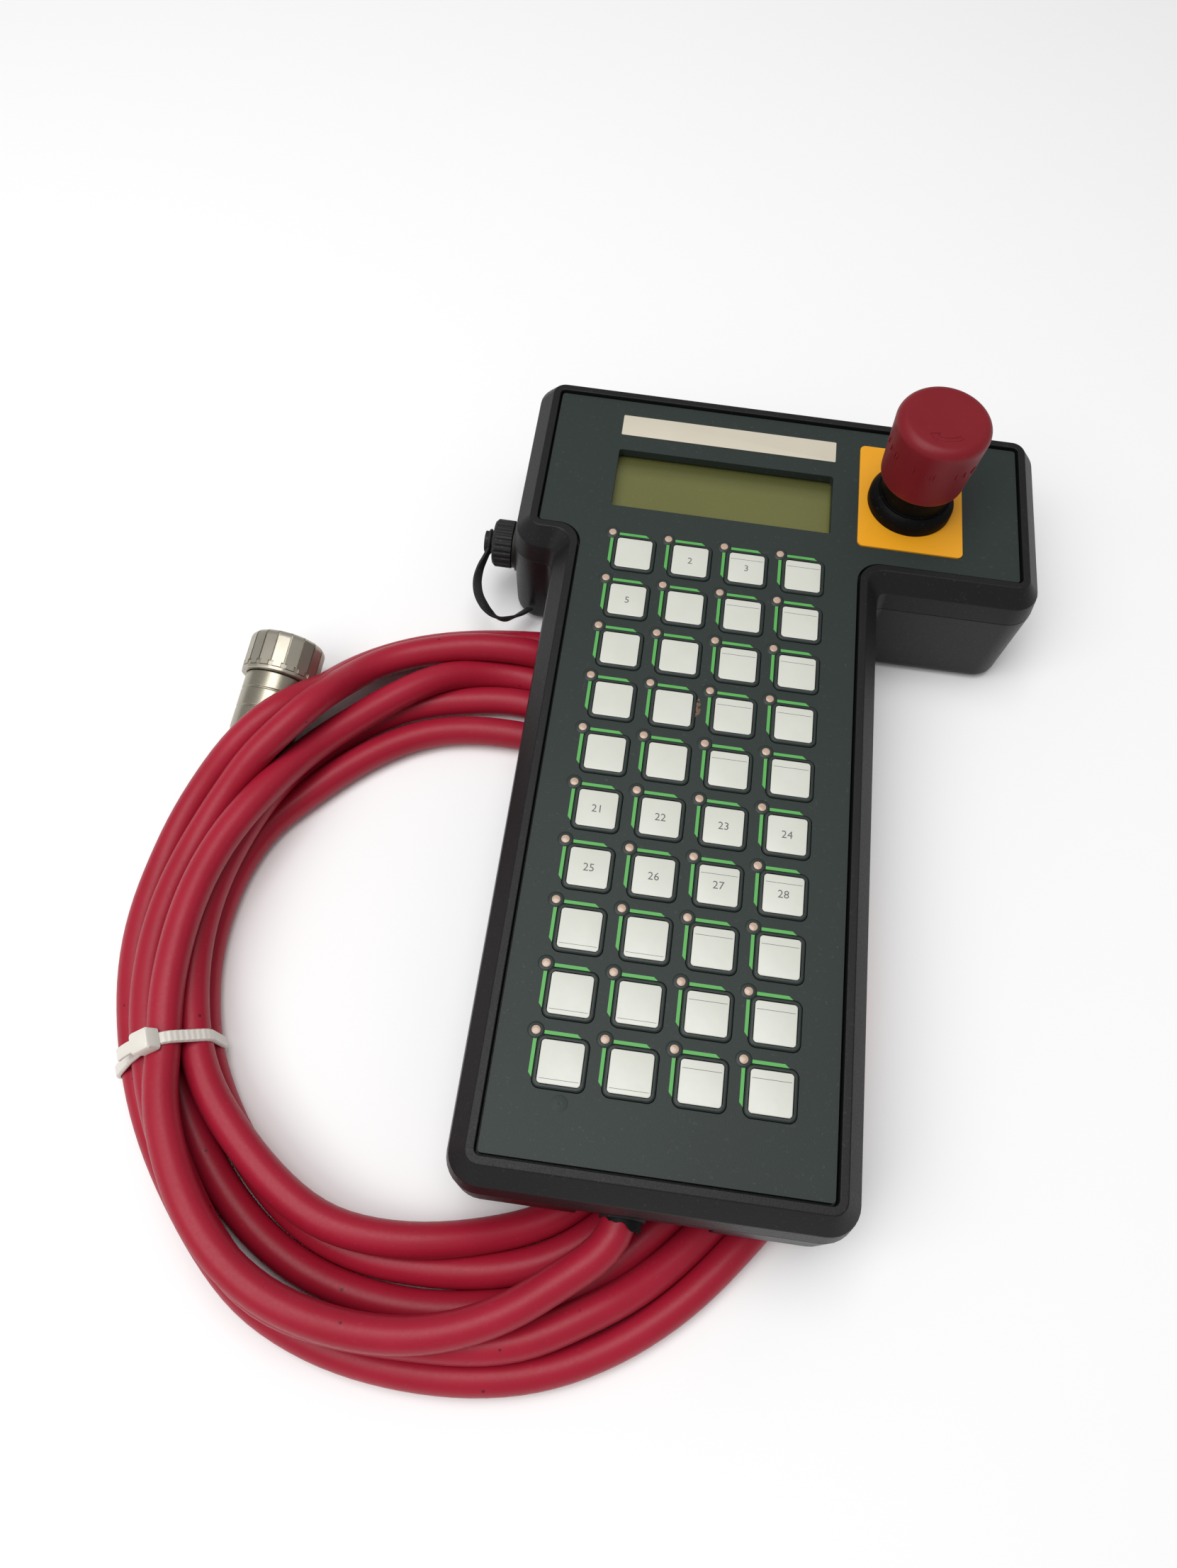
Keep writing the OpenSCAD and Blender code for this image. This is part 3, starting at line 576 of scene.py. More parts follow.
class Paints:
    """Makes the materials, from two node groups that all of them share."""

    def __init__(self) -> None:
        self.surface = self._surface_group()
        self.tint = self._tint_group()
        self.made: dict[str, bpy.types.Material] = {}

    def _surface_group(self) -> bpy.types.NodeTree:
        """The relief of a moulded or coated skin: puts out a value and a normal."""
        graph, given, out = group(
            "skin", "ShaderNodeTree",
            (("Grain", FLOAT), ("Cells", FLOAT), ("Relief", FLOAT)),
            (("Value", FLOAT), ("Normal", VECTOR)),
        )
        place = graph.add("ShaderNodeTexCoord")
        noise = graph.add("ShaderNodeTexNoise", {"Detail": 3.0})
        cells = graph.add("ShaderNodeTexVoronoi")
        mix = graph.add("ShaderNodeMix", data_type="FLOAT")
        bump = graph.add("ShaderNodeBump", {"Distance": RELIEF_M})
        for texture in (noise, cells):
            graph.link(
                (place, "Object", texture, "Vector"), (given, "Grain", texture, "Scale")
            )
        graph.link(
            (given, "Cells", mix, 0),
            (noise, "Fac", mix, 2),
            (cells, "Distance", mix, 3),
            (mix, 0, bump, "Height"),
            (given, "Relief", bump, "Strength"),
            (mix, 0, out, "Value"),
            (bump, "Normal", out, "Normal"),
        )
        return graph.tree

    def _tint_group(self) -> bpy.types.NodeTree:
        """Patches of a second colour and settled dust: puts out a colour and a mask."""
        graph, given, out = group(
            "tint", "ShaderNodeTree",
            (("Colour", COLOUR), ("Second", COLOUR), ("Patch", FLOAT),
             ("Patch size", FLOAT), ("Dust", FLOAT), ("Dust colour", COLOUR)),
            (("Colour", COLOUR), ("Mask", FLOAT)),
        )
        place = graph.add("ShaderNodeTexCoord")
        big = graph.add("ShaderNodeTexNoise", {"Detail": 4.0})
        fine = graph.add("ShaderNodeTexNoise", {"Scale": DUST_SCALE, "Detail": 6.0})
        amount = graph.add("ShaderNodeMath", operation="MULTIPLY")
        patches = graph.add("ShaderNodeMix", data_type="RGBA")
        spots = graph.add(
            "ShaderNodeMapRange", {"From Min": DUST_FROM, "From Max": DUST_TO}
        )
        share = graph.add("ShaderNodeMath", operation="MULTIPLY")
        dusty = graph.add("ShaderNodeMix", data_type="RGBA")
        graph.link(
            (place, "Object", big, "Vector"),
            (place, "Object", fine, "Vector"),
            (given, "Patch size", big, "Scale"),
            (big, "Fac", amount, 0),
            (given, "Patch", amount, 1),
            (amount, 0, patches, 0),
            (given, "Colour", patches, 6),
            (given, "Second", patches, 7),
            (fine, "Fac", spots, "Value"),
            (spots, "Result", share, 0),
            (given, "Dust", share, 1),
            (share, 0, dusty, 0),
            (patches, 2, dusty, 6),
            (given, "Dust colour", dusty, 7),
            (dusty, 2, out, "Colour"),
            (share, 0, out, "Mask"),
        )
        return graph.tree

    def make(self, name: str, f: Finish) -> bpy.types.Material:
        """Makes one material.

        Args:
            name: its name.
            f: what it looks like.

        Returns:
            The material.
        """
        mat = bpy.data.materials.new(name)
        mat.use_nodes = True
        graph = Graph(mat.node_tree)
        shader = graph.tree.nodes["Principled BSDF"]
        skin = graph.add("ShaderNodeGroup", node_tree=self.surface)
        tint = graph.add("ShaderNodeGroup", node_tree=self.tint)
        rough = graph.add("ShaderNodeMapRange")
        for node, values in (
            (skin, {"Grain": 1000.0 / f.grain_mm, "Cells": f.grain.value,
                    "Relief": f.relief}),
            (tint, {"Colour": linear(f.colour), "Second": linear(f.second),
                    "Patch": f.patch, "Patch size": 1000.0 / f.patch_mm,
                    "Dust": f.dust, "Dust colour": linear(f.dust_colour)}),
            (rough, {"To Min": f.roughness - f.rough_spread,
                     "To Max": f.roughness + f.rough_spread}),
            (shader, {"Metallic": f.metallic, "Specular IOR Level": f.shine,
                      "Coat Weight": f.coat}),
        ):
            for key, value in values.items():
                node.inputs[key].default_value = value
        graph.link(
            (skin, "Value", rough, "Value"),
            (rough, "Result", shader, "Roughness"),
            (tint, "Colour", shader, "Base Color"),
            (skin, "Normal", shader, "Normal"),
        )
        self.made[name] = mat
        return mat

    def __getitem__(self, name: str) -> bpy.types.Material:
        return self.made[name]


FINISHES = {
    "housing": Finish((21, 21, 22), (27, 27, 28), 0.46, grain=Grain.PEBBLE, relief=0.12,
        dust=0.04, shine=0.25),
    "shell": Finish((15, 15, 16), (21, 21, 22), 0.42, grain=Grain.PEBBLE, relief=0.08,
        dust=0.05, shine=0.26),
    # foil: the big patches of its darker second tone are partly painted sheen, standing
    # in for the uneven reflection across the panel, and partly tone that varies
    "foil": Finish((41, 52, 48), (34, 41, 40), 0.5, grain_mm=0.3, relief=0.3,
        patch_mm=70, patch=0.9, dust=0.05, shine=0.3),
    "frame_foil": Finish((41, 50, 47), (33, 40, 39), 0.44, grain_mm=0.3, patch_mm=8,
        shine=0.34),
    # near-black for the key frames' inner walls: painted shade in the narrow gap round
    # each label window
    "groove": Finish((12, 13, 13), (16, 17, 17), 0.5, relief=0.1, shine=0.2),
    "scuff": Finish((136, 112, 92), (84, 70, 60), 0.8, grain_mm=0.5, relief=0.8,
        patch_mm=0.6, patch=0.9, shine=0.1),
    "label": Finish((212, 213, 204), (196, 197, 186), 0.34, grain_mm=1.6, relief=0.06,
        patch_mm=9, patch=0.7, dust=0.02, dust_colour=(150, 130, 96)),
    "ink": Finish((92, 92, 92), (120, 120, 118), 0.6, grain_mm=0.3),
    "lamp": Finish((172, 142, 122), (204, 182, 164), 0.3, grain_mm=0.5, relief=0.1,
        patch_mm=2, patch=0.8, coat=0.4),
    "green": Finish((86, 170, 82), (70, 150, 70), 0.5, relief=0.1, patch_mm=6,
        dust=0.05, dust_colour=(30, 60, 30)),
    "strip": Finish((211, 203, 185), (196, 187, 168), 0.5, grain_mm=0.5, relief=0.06,
        patch_mm=18, patch=0.8, dust=0.03, dust_colour=(120, 110, 96)),
    "yellow": Finish((234, 163, 28), (224, 152, 20), 0.45, relief=0.08, patch_mm=16,
        patch=0.7, dust=0.04, dust_colour=(120, 84, 20), shine=0.4),
    "collar": Finish((7, 7, 8), (11, 11, 12), 0.5, grain_mm=0.8, relief=0.05, dust=0.04,
        shine=0.1),
    "plunger": Finish((60, 58, 60), (48, 46, 48), 0.4, grain_mm=0.6, relief=0.1),
    "knob": Finish((126, 20, 32), (112, 14, 24), 0.46, grain_mm=0.5, relief=0.14,
        patch_mm=14, patch=0.8, dust=0.05, dust_colour=(170, 100, 100), shine=0.28),
    "rubber": Finish((26, 26, 28), (36, 36, 38), 0.62, grain_mm=0.5, relief=0.22,
        dust=0.12, shine=0.35),
    "nickel": Finish((168, 162, 146), (146, 141, 126), 0.3, metallic=0.9, grain_mm=0.3,
        relief=0.05, patch_mm=6, patch=0.6, rough_spread=0.1),
    "ring_nickel": Finish((184, 178, 164), (162, 156, 143), 0.4, metallic=0.85,
        grain_mm=0.3, relief=0.1, patch_mm=5, patch=0.7),
    # the nickel darkened as painted shade, for the port socket that lies in the shade
    # of its cap
    "shaded_nickel": Finish((52, 50, 46), (40, 39, 36), 0.5, metallic=0.8, grain_mm=0.3,
        relief=0.08),
    "torn": Finish((10, 10, 11), (16, 16, 17), 0.6, relief=0.25, shine=0.2),
    "nylon": Finish((230, 226, 216), (216, 209, 200), 0.38, grain_mm=0.6, relief=0.08,
        patch_mm=6, patch=0.8),
    "steel": Finish((150, 152, 154), (128, 130, 132), 0.35, metallic=1.0, grain_mm=0.3,
        relief=0.06),
    "insert": Finish((30, 30, 31), (24, 24, 25), 0.4, grain_mm=0.5, relief=0.1),
    "pin": Finish((205, 172, 96), (190, 155, 80), 0.25, metallic=1.0, grain_mm=0.3,
        relief=0.04),
    "board": Finish((30, 92, 58), (24, 80, 50), 0.4, grain_mm=0.9, relief=0.1),
    "cable": Finish((168, 30, 54), (146, 18, 38), 0.42, grain_mm=0.9, relief=0.10,
        patch_mm=22, patch=0.9, dust=0.05, dust_colour=(220, 150, 160), shine=0.28,
        rough_spread=0.1),
    "display": Finish((108, 109, 60), (84, 86, 44), 0.3, grain_mm=0.9, relief=0.02,
        patch_mm=40, patch=0.5, dust=0.10, shine=0.4, coat=0.15),
}


# ---- Camera, lights and floor ----


@dataclass(frozen=True)
class Studio:
    """The camera, the soft lights and the floor; lengths in metres."""

    place: tuple = (-0.04518, -0.27553, 0.35754)
    right: tuple = (0.99041, 0.13179, 0.04137)
    ahead: tuple = (-0.02056, 0.43679, -0.89933)
    lens: float = 26.0
    lights: tuple = (("key", (-0.7, -0.6, 1.2), 8.0),
                     ("top", (-0.15, -0.02, 1.45), 9.5))
    light_side: float = 0.8
    aim: tuple = (0, -0.1, 0)
    sky: float = 0.38
    floor_half: float = 4.0
    floor_tone: float = 0.96

    def camera(self) -> None:
        """Adds the camera."""
        data = bpy.data.cameras.new("camera")
        data.lens = self.lens
        data.sensor_width = 36.0
        data.clip_start = 0.01
        back = -Vector(self.ahead).normalized()
        right = Vector(self.right)
        right = (right - back * right.dot(back)).normalized()
        up = back.cross(right)
        turn = Matrix((right, up, back)).transposed().to_4x4()
        obj = stand("camera", data)
        obj.matrix_world = Matrix.Translation(self.place) @ turn
        bpy.context.scene.camera = obj

    def build(self) -> None:
        """Adds the lights, the sky and the floor."""
        scene = bpy.context.scene
        scene.view_settings.view_transform = "Standard"
        scene.world = bpy.data.worlds.new("sky")
        scene.world.use_nodes = True
        sky = scene.world.node_tree.nodes["Background"]
        sky.inputs["Color"].default_value = (1, 1, 1, 1)
        sky.inputs["Strength"].default_value = self.sky
        for name, place, power in self.lights:
            data = bpy.data.lights.new(name, "AREA")
            data.size = self.light_side
            data.energy = power
            obj = stand(name, data)
            obj.location = place
            away = Vector(place) - Vector(self.aim)
            obj.rotation_euler = away.to_track_quat("Z", "Y").to_euler()
        floor = Shape()
        h = self.floor_half / MM
        floor.loft([at_height(rounded(2 * h, 2 * h, 100), z) for z in (-20, 0)])
        mat = bpy.data.materials.new("floor")
        mat.use_nodes = True
        shader = mat.node_tree.nodes["Principled BSDF"]
        shader.inputs["Base Color"].default_value = (*[self.floor_tone] * 3, 1)
        shader.inputs["Roughness"].default_value = 0.9
        shader.inputs["Specular IOR Level"].default_value = 0.1
        floor.piece("floor", [mat])


# ---- Cable ----


@dataclass(frozen=True)
class CableRun:
    """The cable, from the gland through six turns to the connector.

    A turn's stations are (angle, distance from the coil's middle, height),
    with the angle falling as the cable runs on. The tie holds the turns within
    a number of degrees of it; they come free from a second one, over a third,
    by a power. The first lead_points pass the gland, where the grip's underside
    is no ceiling.
    """

    diameter: float = 2 * CABLE_R
    sides: int = 20
    step: float = 2.5
    spacing: float = 4.5
    plug_stations: tuple = (-12, -5, 0, 6)
    lead: tuple = (
        (-26, -236.5, 24.5), (-26, -242, 24.5), (-26, -247, 24.5),
        (-27.6, -251.5, 24.3), (-31.5, -256, 23.9),
    )
    turns: tuple = (
        ((292, 94.1, 23), (282, 101.1, 22.5), (267, 108.8, 21.6),
         (256, 112, 22.4), (245, 113.7, 23.4), (235, 112.3, 23.6),
         (224, 108.5, 23), (212, 104, 22.4), (205, 100, 22.2),
         (198, 98.3, 22.4), (190, 96.3, 22.8), (174, 94.2, 22.9),
         (165, 93.3, 22.8), (157, 92.5, 22), (146, 94, 18), (136, 97, 13.7),
         (130, 97.5, 13.7), (118, 100.5, 13.7), (97, 108, 5), (85, 105, 5),
         (70, 101, 5), (50, 95, 5), (30, 88, 5), (0, 83, 5), (-20, 82, 5),
         (-40, 81.5, 5), (-54, 84, 5)),
        ((292, 88.5, 5), (282, 90, 5), (267, 91, 5), (256, 93, 5),
         (245, 94, 5), (235, 93, 5), (224, 92.3, 5), (212, 92, 5.8),
         (205, 92, 6.4), (198, 92, 5.8), (190, 92.2, 5), (174, 92.5, 5),
         (165, 93, 5), (157, 93, 5), (146, 90.5, 5), (136, 88.8, 5),
         (130, 88.5, 5), (118, 88.3, 5), (97, 84.3, 5), (85, 82.5, 5),
         (70, 80.5, 5), (50, 78, 5), (30, 75.5, 5), (0, 73, 5),
         (-20, 72.5, 5), (-40, 72.5, 5), (-54, 75, 5)),
        ((292, 79, 5), (282, 80.5, 6.5), (267, 84.4, 11.8), (256, 88, 13),
         (245, 91, 13.8), (235, 91, 14), (224, 91.4, 14.3), (212, 93, 15),
         (205, 93, 15.6), (198, 93, 15.2), (190, 93, 14.6),
         (174, 93, 14.4), (165, 93, 14.3), (157, 93.2, 13.9),
         (146, 95.5, 9.5), (136, 98, 5.4), (130, 99, 5), (118, 100.1, 5),
         (97, 98.2, 5), (85, 95.5, 5), (70, 93, 6), (50, 96, 9),
         (30, 100.5, 9.6), (10, 102.5, 9), (-20, 102.5, 6),
         (-40, 100.8, 5), (-54, 102.4, 6.5)),
        ((292, 105.5, 12), (282, 109.2, 12), (267, 110, 12),
         (256, 113, 12.8), (245, 115.7, 14), (235, 113.2, 14),
         (224, 110, 14), (212, 107.7, 14.5), (205, 106.7, 15),
         (198, 106.4, 14.6), (190, 106, 14), (174, 105, 13.8),
         (165, 104.5, 15), (157, 103.5, 19), (146, 101, 29),
         (136, 103.5, 28.5), (130, 109, 20), (118, 115.6, 13.7),
         (97, 114.3, 12.9), (90, 114.3, 10.2), (85, 114.8, 9.7),
         (70, 119, 9.6), (50, 121, 7), (30, 118, 5), (0, 113, 5),
         (-20, 111, 5), (-40, 110, 5), (-54, 113, 5)),
        ((292, 116, 5), (282, 117.3, 5), (267, 117.5, 5), (256, 118, 5),
         (245, 118, 5), (235, 115.5, 5), (224, 113.2, 5), (212, 112.6, 5.8),
         (205, 112.4, 6.4), (198, 112.8, 5.8), (190, 114, 5),
         (174, 115.2, 5), (165, 115.3, 8), (157, 114, 14),
         (146, 110.3, 25.5), (136, 110.8, 24), (130, 116.5, 14),
         (118, 122.6, 5), (97, 120.6, 5), (85, 119, 5), (70, 113, 5),
         (50, 107, 5), (30, 100, 5), (0, 93, 5), (-20, 91.5, 5),
         (-40, 91, 5), (-54, 93, 5)),
        ((292, 99.6, 5), (282, 99.6, 5), (267, 101.5, 5), (256, 103, 5),
         (245, 104, 5), (235, 103.5, 5), (224, 102.6, 5), (212, 102.4, 5.8),
         (205, 102.4, 6.4), (198, 102.8, 5.8), (190, 103.5, 5),
         (174, 103.3, 5), (165, 102, 5)),
    )
    tie_hold: tuple = (3.0, 2.5, 10.0, 0.05)
    held_first: int = 6
    held_last: int = 5
    rounds: int = 220
    neighbours: int = 8
    play: float = 0.1
    push: float = 0.25
    give: tuple = (0.45, 0.45, 1.0)
    plug_play: float = 0.2
    plug_push: float = 0.5
    plug_give: tuple = (0.5, 0.5, 1.0)
    plug_least: float = 6.0
    plug_end: int = 12
    stiffness: float = 0.2
    fading: float = 0.985
    lead_points: int = 60
    grip: tuple = (-76.0, 36.0, -242.0, -35.0)
    grip_under: float = 15.0
    grip_edge: float = 4.5
    no_ceiling: float = 1e3

    def start_route(self, rear: Vector, axis: Vector) -> np.ndarray:
        """The route as laid from the listed stations.

        Args:
            rear: the middle of the connector's rear end.
            axis: the connector's direction.

        Returns:
            Evenly spaced points.
        """
        stations = np.array(
            [(angle - 360 * i, r, z)
             for i, turn in enumerate(self.turns) for angle, r, z in turn],
            float,
        )[::-1]
        a, radii, heights = stations.T
        s = np.arange(a[-1], a[0], -self.step)
        r = smooth_between(a, radii, s)
        z = smooth_between(a, heights, s)
        t = np.radians(s)
        coil = np.column_stack(
            [COIL_CENTRE[0] + r * np.cos(t), COIL_CENTRE[1] + r * np.sin(t), z]
        )
        end = [rear + axis * d for d in self.plug_stations]
        knots = np.vstack([np.array(self.lead, float), coil, np.array(end)])
        return evenly(knots, self.spacing)

    def relax(self, p: np.ndarray, plug: "Connector") -> np.ndarray:
        """Presses the turns apart until they lie on and beside each other.

        Args:
            p: the route's points.
            plug: the connector that lies among the turns.

        Returns:
            The settled points.
        """
        first = p.copy()
        n, d = len(p), self.diameter
        index = np.arange(n)
        far = np.abs(index[:, None] - index[None, :]) > self.neighbours
        origin, axis = np.array(plug.origin), np.array(plug.axis)
        beside_plug = index < n - self.plug_end
        angle = np.degrees(
            np.arctan2(p[:, 1] - COIL_CENTRE[1], p[:, 0] - COIL_CENTRE[0])
        )
        off_tie = np.abs((angle % 360) - TIED_AT)
        hold, start, fade, power = self.tie_hold
        loose = np.clip((off_tie - start) / fade, 0, 1) ** power
        loose[off_tie < hold] = 0
        room = d + self.play
        for _ in range(self.rounds):
            gap = p[:, None, :] - p[None, :, :]
            dist = np.linalg.norm(gap, axis=2) + TINY
            push = np.where(far & (dist < room), (room - dist) / dist, 0)
            p = p + self.push * (gap * push[:, :, None]).sum(1) * np.array(self.give)
            along = (p - origin) @ axis
            out = p - origin - along[:, None] * axis
            clear = plug.reach(along) + d / 2 + self.plug_play
            away = np.linalg.norm(out, axis=1) + TINY
            short = np.where(
                beside_plug & (clear > self.plug_least) & (away < clear),
                (clear - away) / away, 0,
            )
            p = p + self.plug_push * out * short[:, None] * np.array(self.plug_give)
            p[:, 2] = np.maximum(p[:, 2], d / 2)
            shift = p - first
            smooth(shift, 1, self.stiffness)
            shift *= self.fading
            shift[: self.held_first] = 0
            shift[-self.held_last:] = 0
            shift *= loose[:, None]
            p = first + shift
            low = self.ceiling(p)
            low[: self.lead_points] = self.no_ceiling
            p[:, 2] = np.minimum(np.maximum(p[:, 2], d / 2), low)
        return p

    def ceiling(self, p: np.ndarray) -> np.ndarray:
        """How high the cable's middle may be at each point under the grip."""
        x0, x1, y0, y1 = self.grip
        e, r = self.grip_edge, self.grip_edge + self.diameter / 2 + self.plug_play
        inside = np.minimum.reduce([p[:, 0] - x0, x1 - p[:, 0], p[:, 1] - y0])
        side = np.clip(e - inside, 0, None)
        top = self.grip_under + e - np.sqrt(np.clip(r * r - side**2, 0, None))
        free = (side >= r) | (p[:, 1] > y1)
        return np.where(free, self.no_ceiling, top)

    def build(self, paints: Paints, plug: "Connector", tie: bpy.types.Object) -> None:
        """Makes the cable.

        Args:
            paints: the materials.
            plug: the connector on its end.
            tie: the tie round its turns; not used.
        """
        rear = Vector(plug.rear())
        route = self.relax(self.start_route(rear, Vector(plug.axis)), plug)
        shape = Shape()
        shape.loft(tube(route, self.diameter / 2, self.sides))
        piece = shape.piece("cable", [paints["cable"]], 60)
        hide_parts("cord_lead", "cord_coil")
        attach(piece, "base")


def smooth(p: np.ndarray, rounds: int, share: float = 0.25) -> None:
    """Evens out a route's points, or their shifts, where they stand.

    Args:
        p: the points.
        rounds: how many times.
        share: how far each goes towards the middle of its neighbours.
    """
    for _ in range(rounds):
        p[1:-1] += share * (p[2:] + p[:-2] - 2 * p[1:-1])


def run_along(p: np.ndarray) -> np.ndarray:
    """How far along a route each of its points is."""
    return np.concatenate([[0], np.cumsum(np.linalg.norm(np.diff(p, axis=0), axis=1))])


def smooth_between(x: np.ndarray, y: np.ndarray, at: np.ndarray) -> np.ndarray:
    """A smooth curve through points that never overshoots them.

    Args:
        x: the points' places, rising.
        y: the points' values.
        at: the places asked for.

    Returns:
        The values there.
    """
    h = np.diff(x)
    g = np.diff(y) / h
    m = np.zeros(len(x))
    same = g[:-1] * g[1:] > 0
    w1, w2 = 2 * h[1:] + h[:-1], h[1:] + 2 * h[:-1]
    with np.errstate(divide="ignore", invalid="ignore"):
        mid = (w1 + w2) / (w1 / g[:-1] + w2 / g[1:])
    m[1:-1] = np.where(same, mid, 0)
    m[0], m[-1] = g[0], g[-1]
    i = np.clip(np.searchsorted(x, at) - 1, 0, len(h) - 1)
    t = (at - x[i]) / h[i]
    return (
        y[i] * (1 + 2 * t) * (1 - t) ** 2
        + m[i] * h[i] * t * (1 - t) ** 2
        + y[i + 1] * t * t * (3 - 2 * t)
        + m[i + 1] * h[i] * t * t * (t - 1)
    )


def evenly(p: np.ndarray, step: float) -> np.ndarray:
    """Evenly spaced points on a smooth curve through others.

    Args:
        p: the points.
        step: the spacing.

    Returns:
        The new points, both ends included.
    """
    run = run_along(p)
    at = np.linspace(0, run[-1], int(run[-1] / step) + 1)
    out = np.column_stack([np.interp(at, run, axis) for axis in p.T])
    smooth(out, 4)
    return out


def tube(path: np.ndarray, r: float, sides: int) -> list[np.ndarray]:
    """Rings along a route, without twist.

    Args:
        path: the route.
        r: the tube's radius.
        sides: the points of each ring.

    Returns:
        The rings.
    """
    along = np.gradient(path, axis=0)
    along /= np.linalg.norm(along, axis=1)[:, None]
    side = unit(np.cross(along[0], (0, 0, 1)))
    turns = np.linspace(0, 2 * math.pi, sides, endpoint=False)
    rings = []
    for point, t in zip(path, along):
        side = unit(side - t * np.dot(side, t))
        up = np.cross(side, t)
        rings.append(
            point
            + r * (np.cos(turns)[:, None] * side + np.sin(turns)[:, None] * up)
        )
    return rings


@dataclass(frozen=True)
class CableTie:
    """The nylon tie: a ribbed band, a head block and a tail."""

    stack: tuple = ((112.4, 6.4), (106.7, 15), (100, 22.2), (93, 15.6), (92, 6.4))
    play: float = 0.1
    width: float = 3.7
    thick: float = 1.2
    rib_deep: float = 0.14
    edge: float = 0.35
    band_points: int = 220
    head: tuple = (6.8, 6.4, 4.2)
    head_at: tuple = (102.96, 27.76)
    head_turn: float = 28.0
    tail: float = 7.5
    tail_sag: float = 0.03

    def outline(self, r: float) -> np.ndarray:
        """The band's outline at distance r round the stack."""
        n = len(self.stack)
        parts = []
        for i in range(n):
            a, b, c = (np.array(self.stack[(i + k) % n]) for k in (-1, 0, 1))
            start = math.degrees(math.atan2(*(b - a)[::-1])) - 90
            end = math.degrees(math.atan2(*(c - b)[::-1])) - 90
            turn = (end - start + 540) % 360 - 180
            parts.append(arc(b, r, start, start + turn, 12))
        closed = np.vstack([*parts, parts[0][:1]])
        run = run_along(closed)
        at = np.linspace(0, run[-1], self.band_points, endpoint=False)
        return np.column_stack([np.interp(at, run, axis) for axis in closed.T])

    def place(self) -> Matrix:
        """The tie's own frame: X outwards, Y up, Z along the cable."""
        return (
            Matrix.Translation((*COIL_CENTRE, 0))
            @ Matrix.Rotation(math.radians(TIED_AT), 4, "Z")
            @ Matrix.Rotation(math.radians(90), 4, "X")
        )

    def build(self, paints: Paints) -> bpy.types.Object:
        """Makes the tie and returns it."""
        inner = CABLE_R + self.play
        low, high = self.outline(inner), self.outline(inner + self.thick)
        mid = self.outline(inner + self.thick - self.rib_deep)
        ribs = np.arange(len(high)) % 4 < 2
        high = np.where(ribs[:, None], high, mid)
        w, e = self.width / 2, self.edge
        rings = [
            np.array([(*a, -w), (*(a + b) / 2, -w), (*b, -w + e), (*b, w - e),
                      (*(a + b) / 2, w), (*a, w)])
            for a, b in zip(low, high)
        ]
        shape = Shape()
        shape.loft(rings + [rings[0]], caps=False)
        x, y, z = self.head
        out = Matrix.Rotation(math.radians(-self.head_turn), 4, "Z")
        at = Matrix.Translation((*self.head_at, 0)) @ out
        block = []
        for inset, up in ((0.0, -0.9), (0, y * 0.5), (0.3, z - 0.4), (1.0, z)):
            ring = rounded(x - 2 * inset, y - 2 * inset, 1.0)
            block.append(placed([(q[0], up, q[1]) for q in ring], at))
        shape.loft(block)
        strap = []
        section = rounded(self.thick, self.width, 0.4, steps=2)
        for d in np.linspace(-1, self.tail, 16):
            sag = -self.tail_sag * max(d, 0) ** 2
            ring = [(x / 2 + d, z / 2 + q[0] + sag, q[1]) for q in section]
            strap.append(placed(ring, at))
        shape.loft(strap)
        shape.move(self.place())
        piece = shape.piece("tie", [paints["nylon"]], 30)
        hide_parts("cable_tie")
        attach(piece, "base")
        return piece


# ---- Connector ----


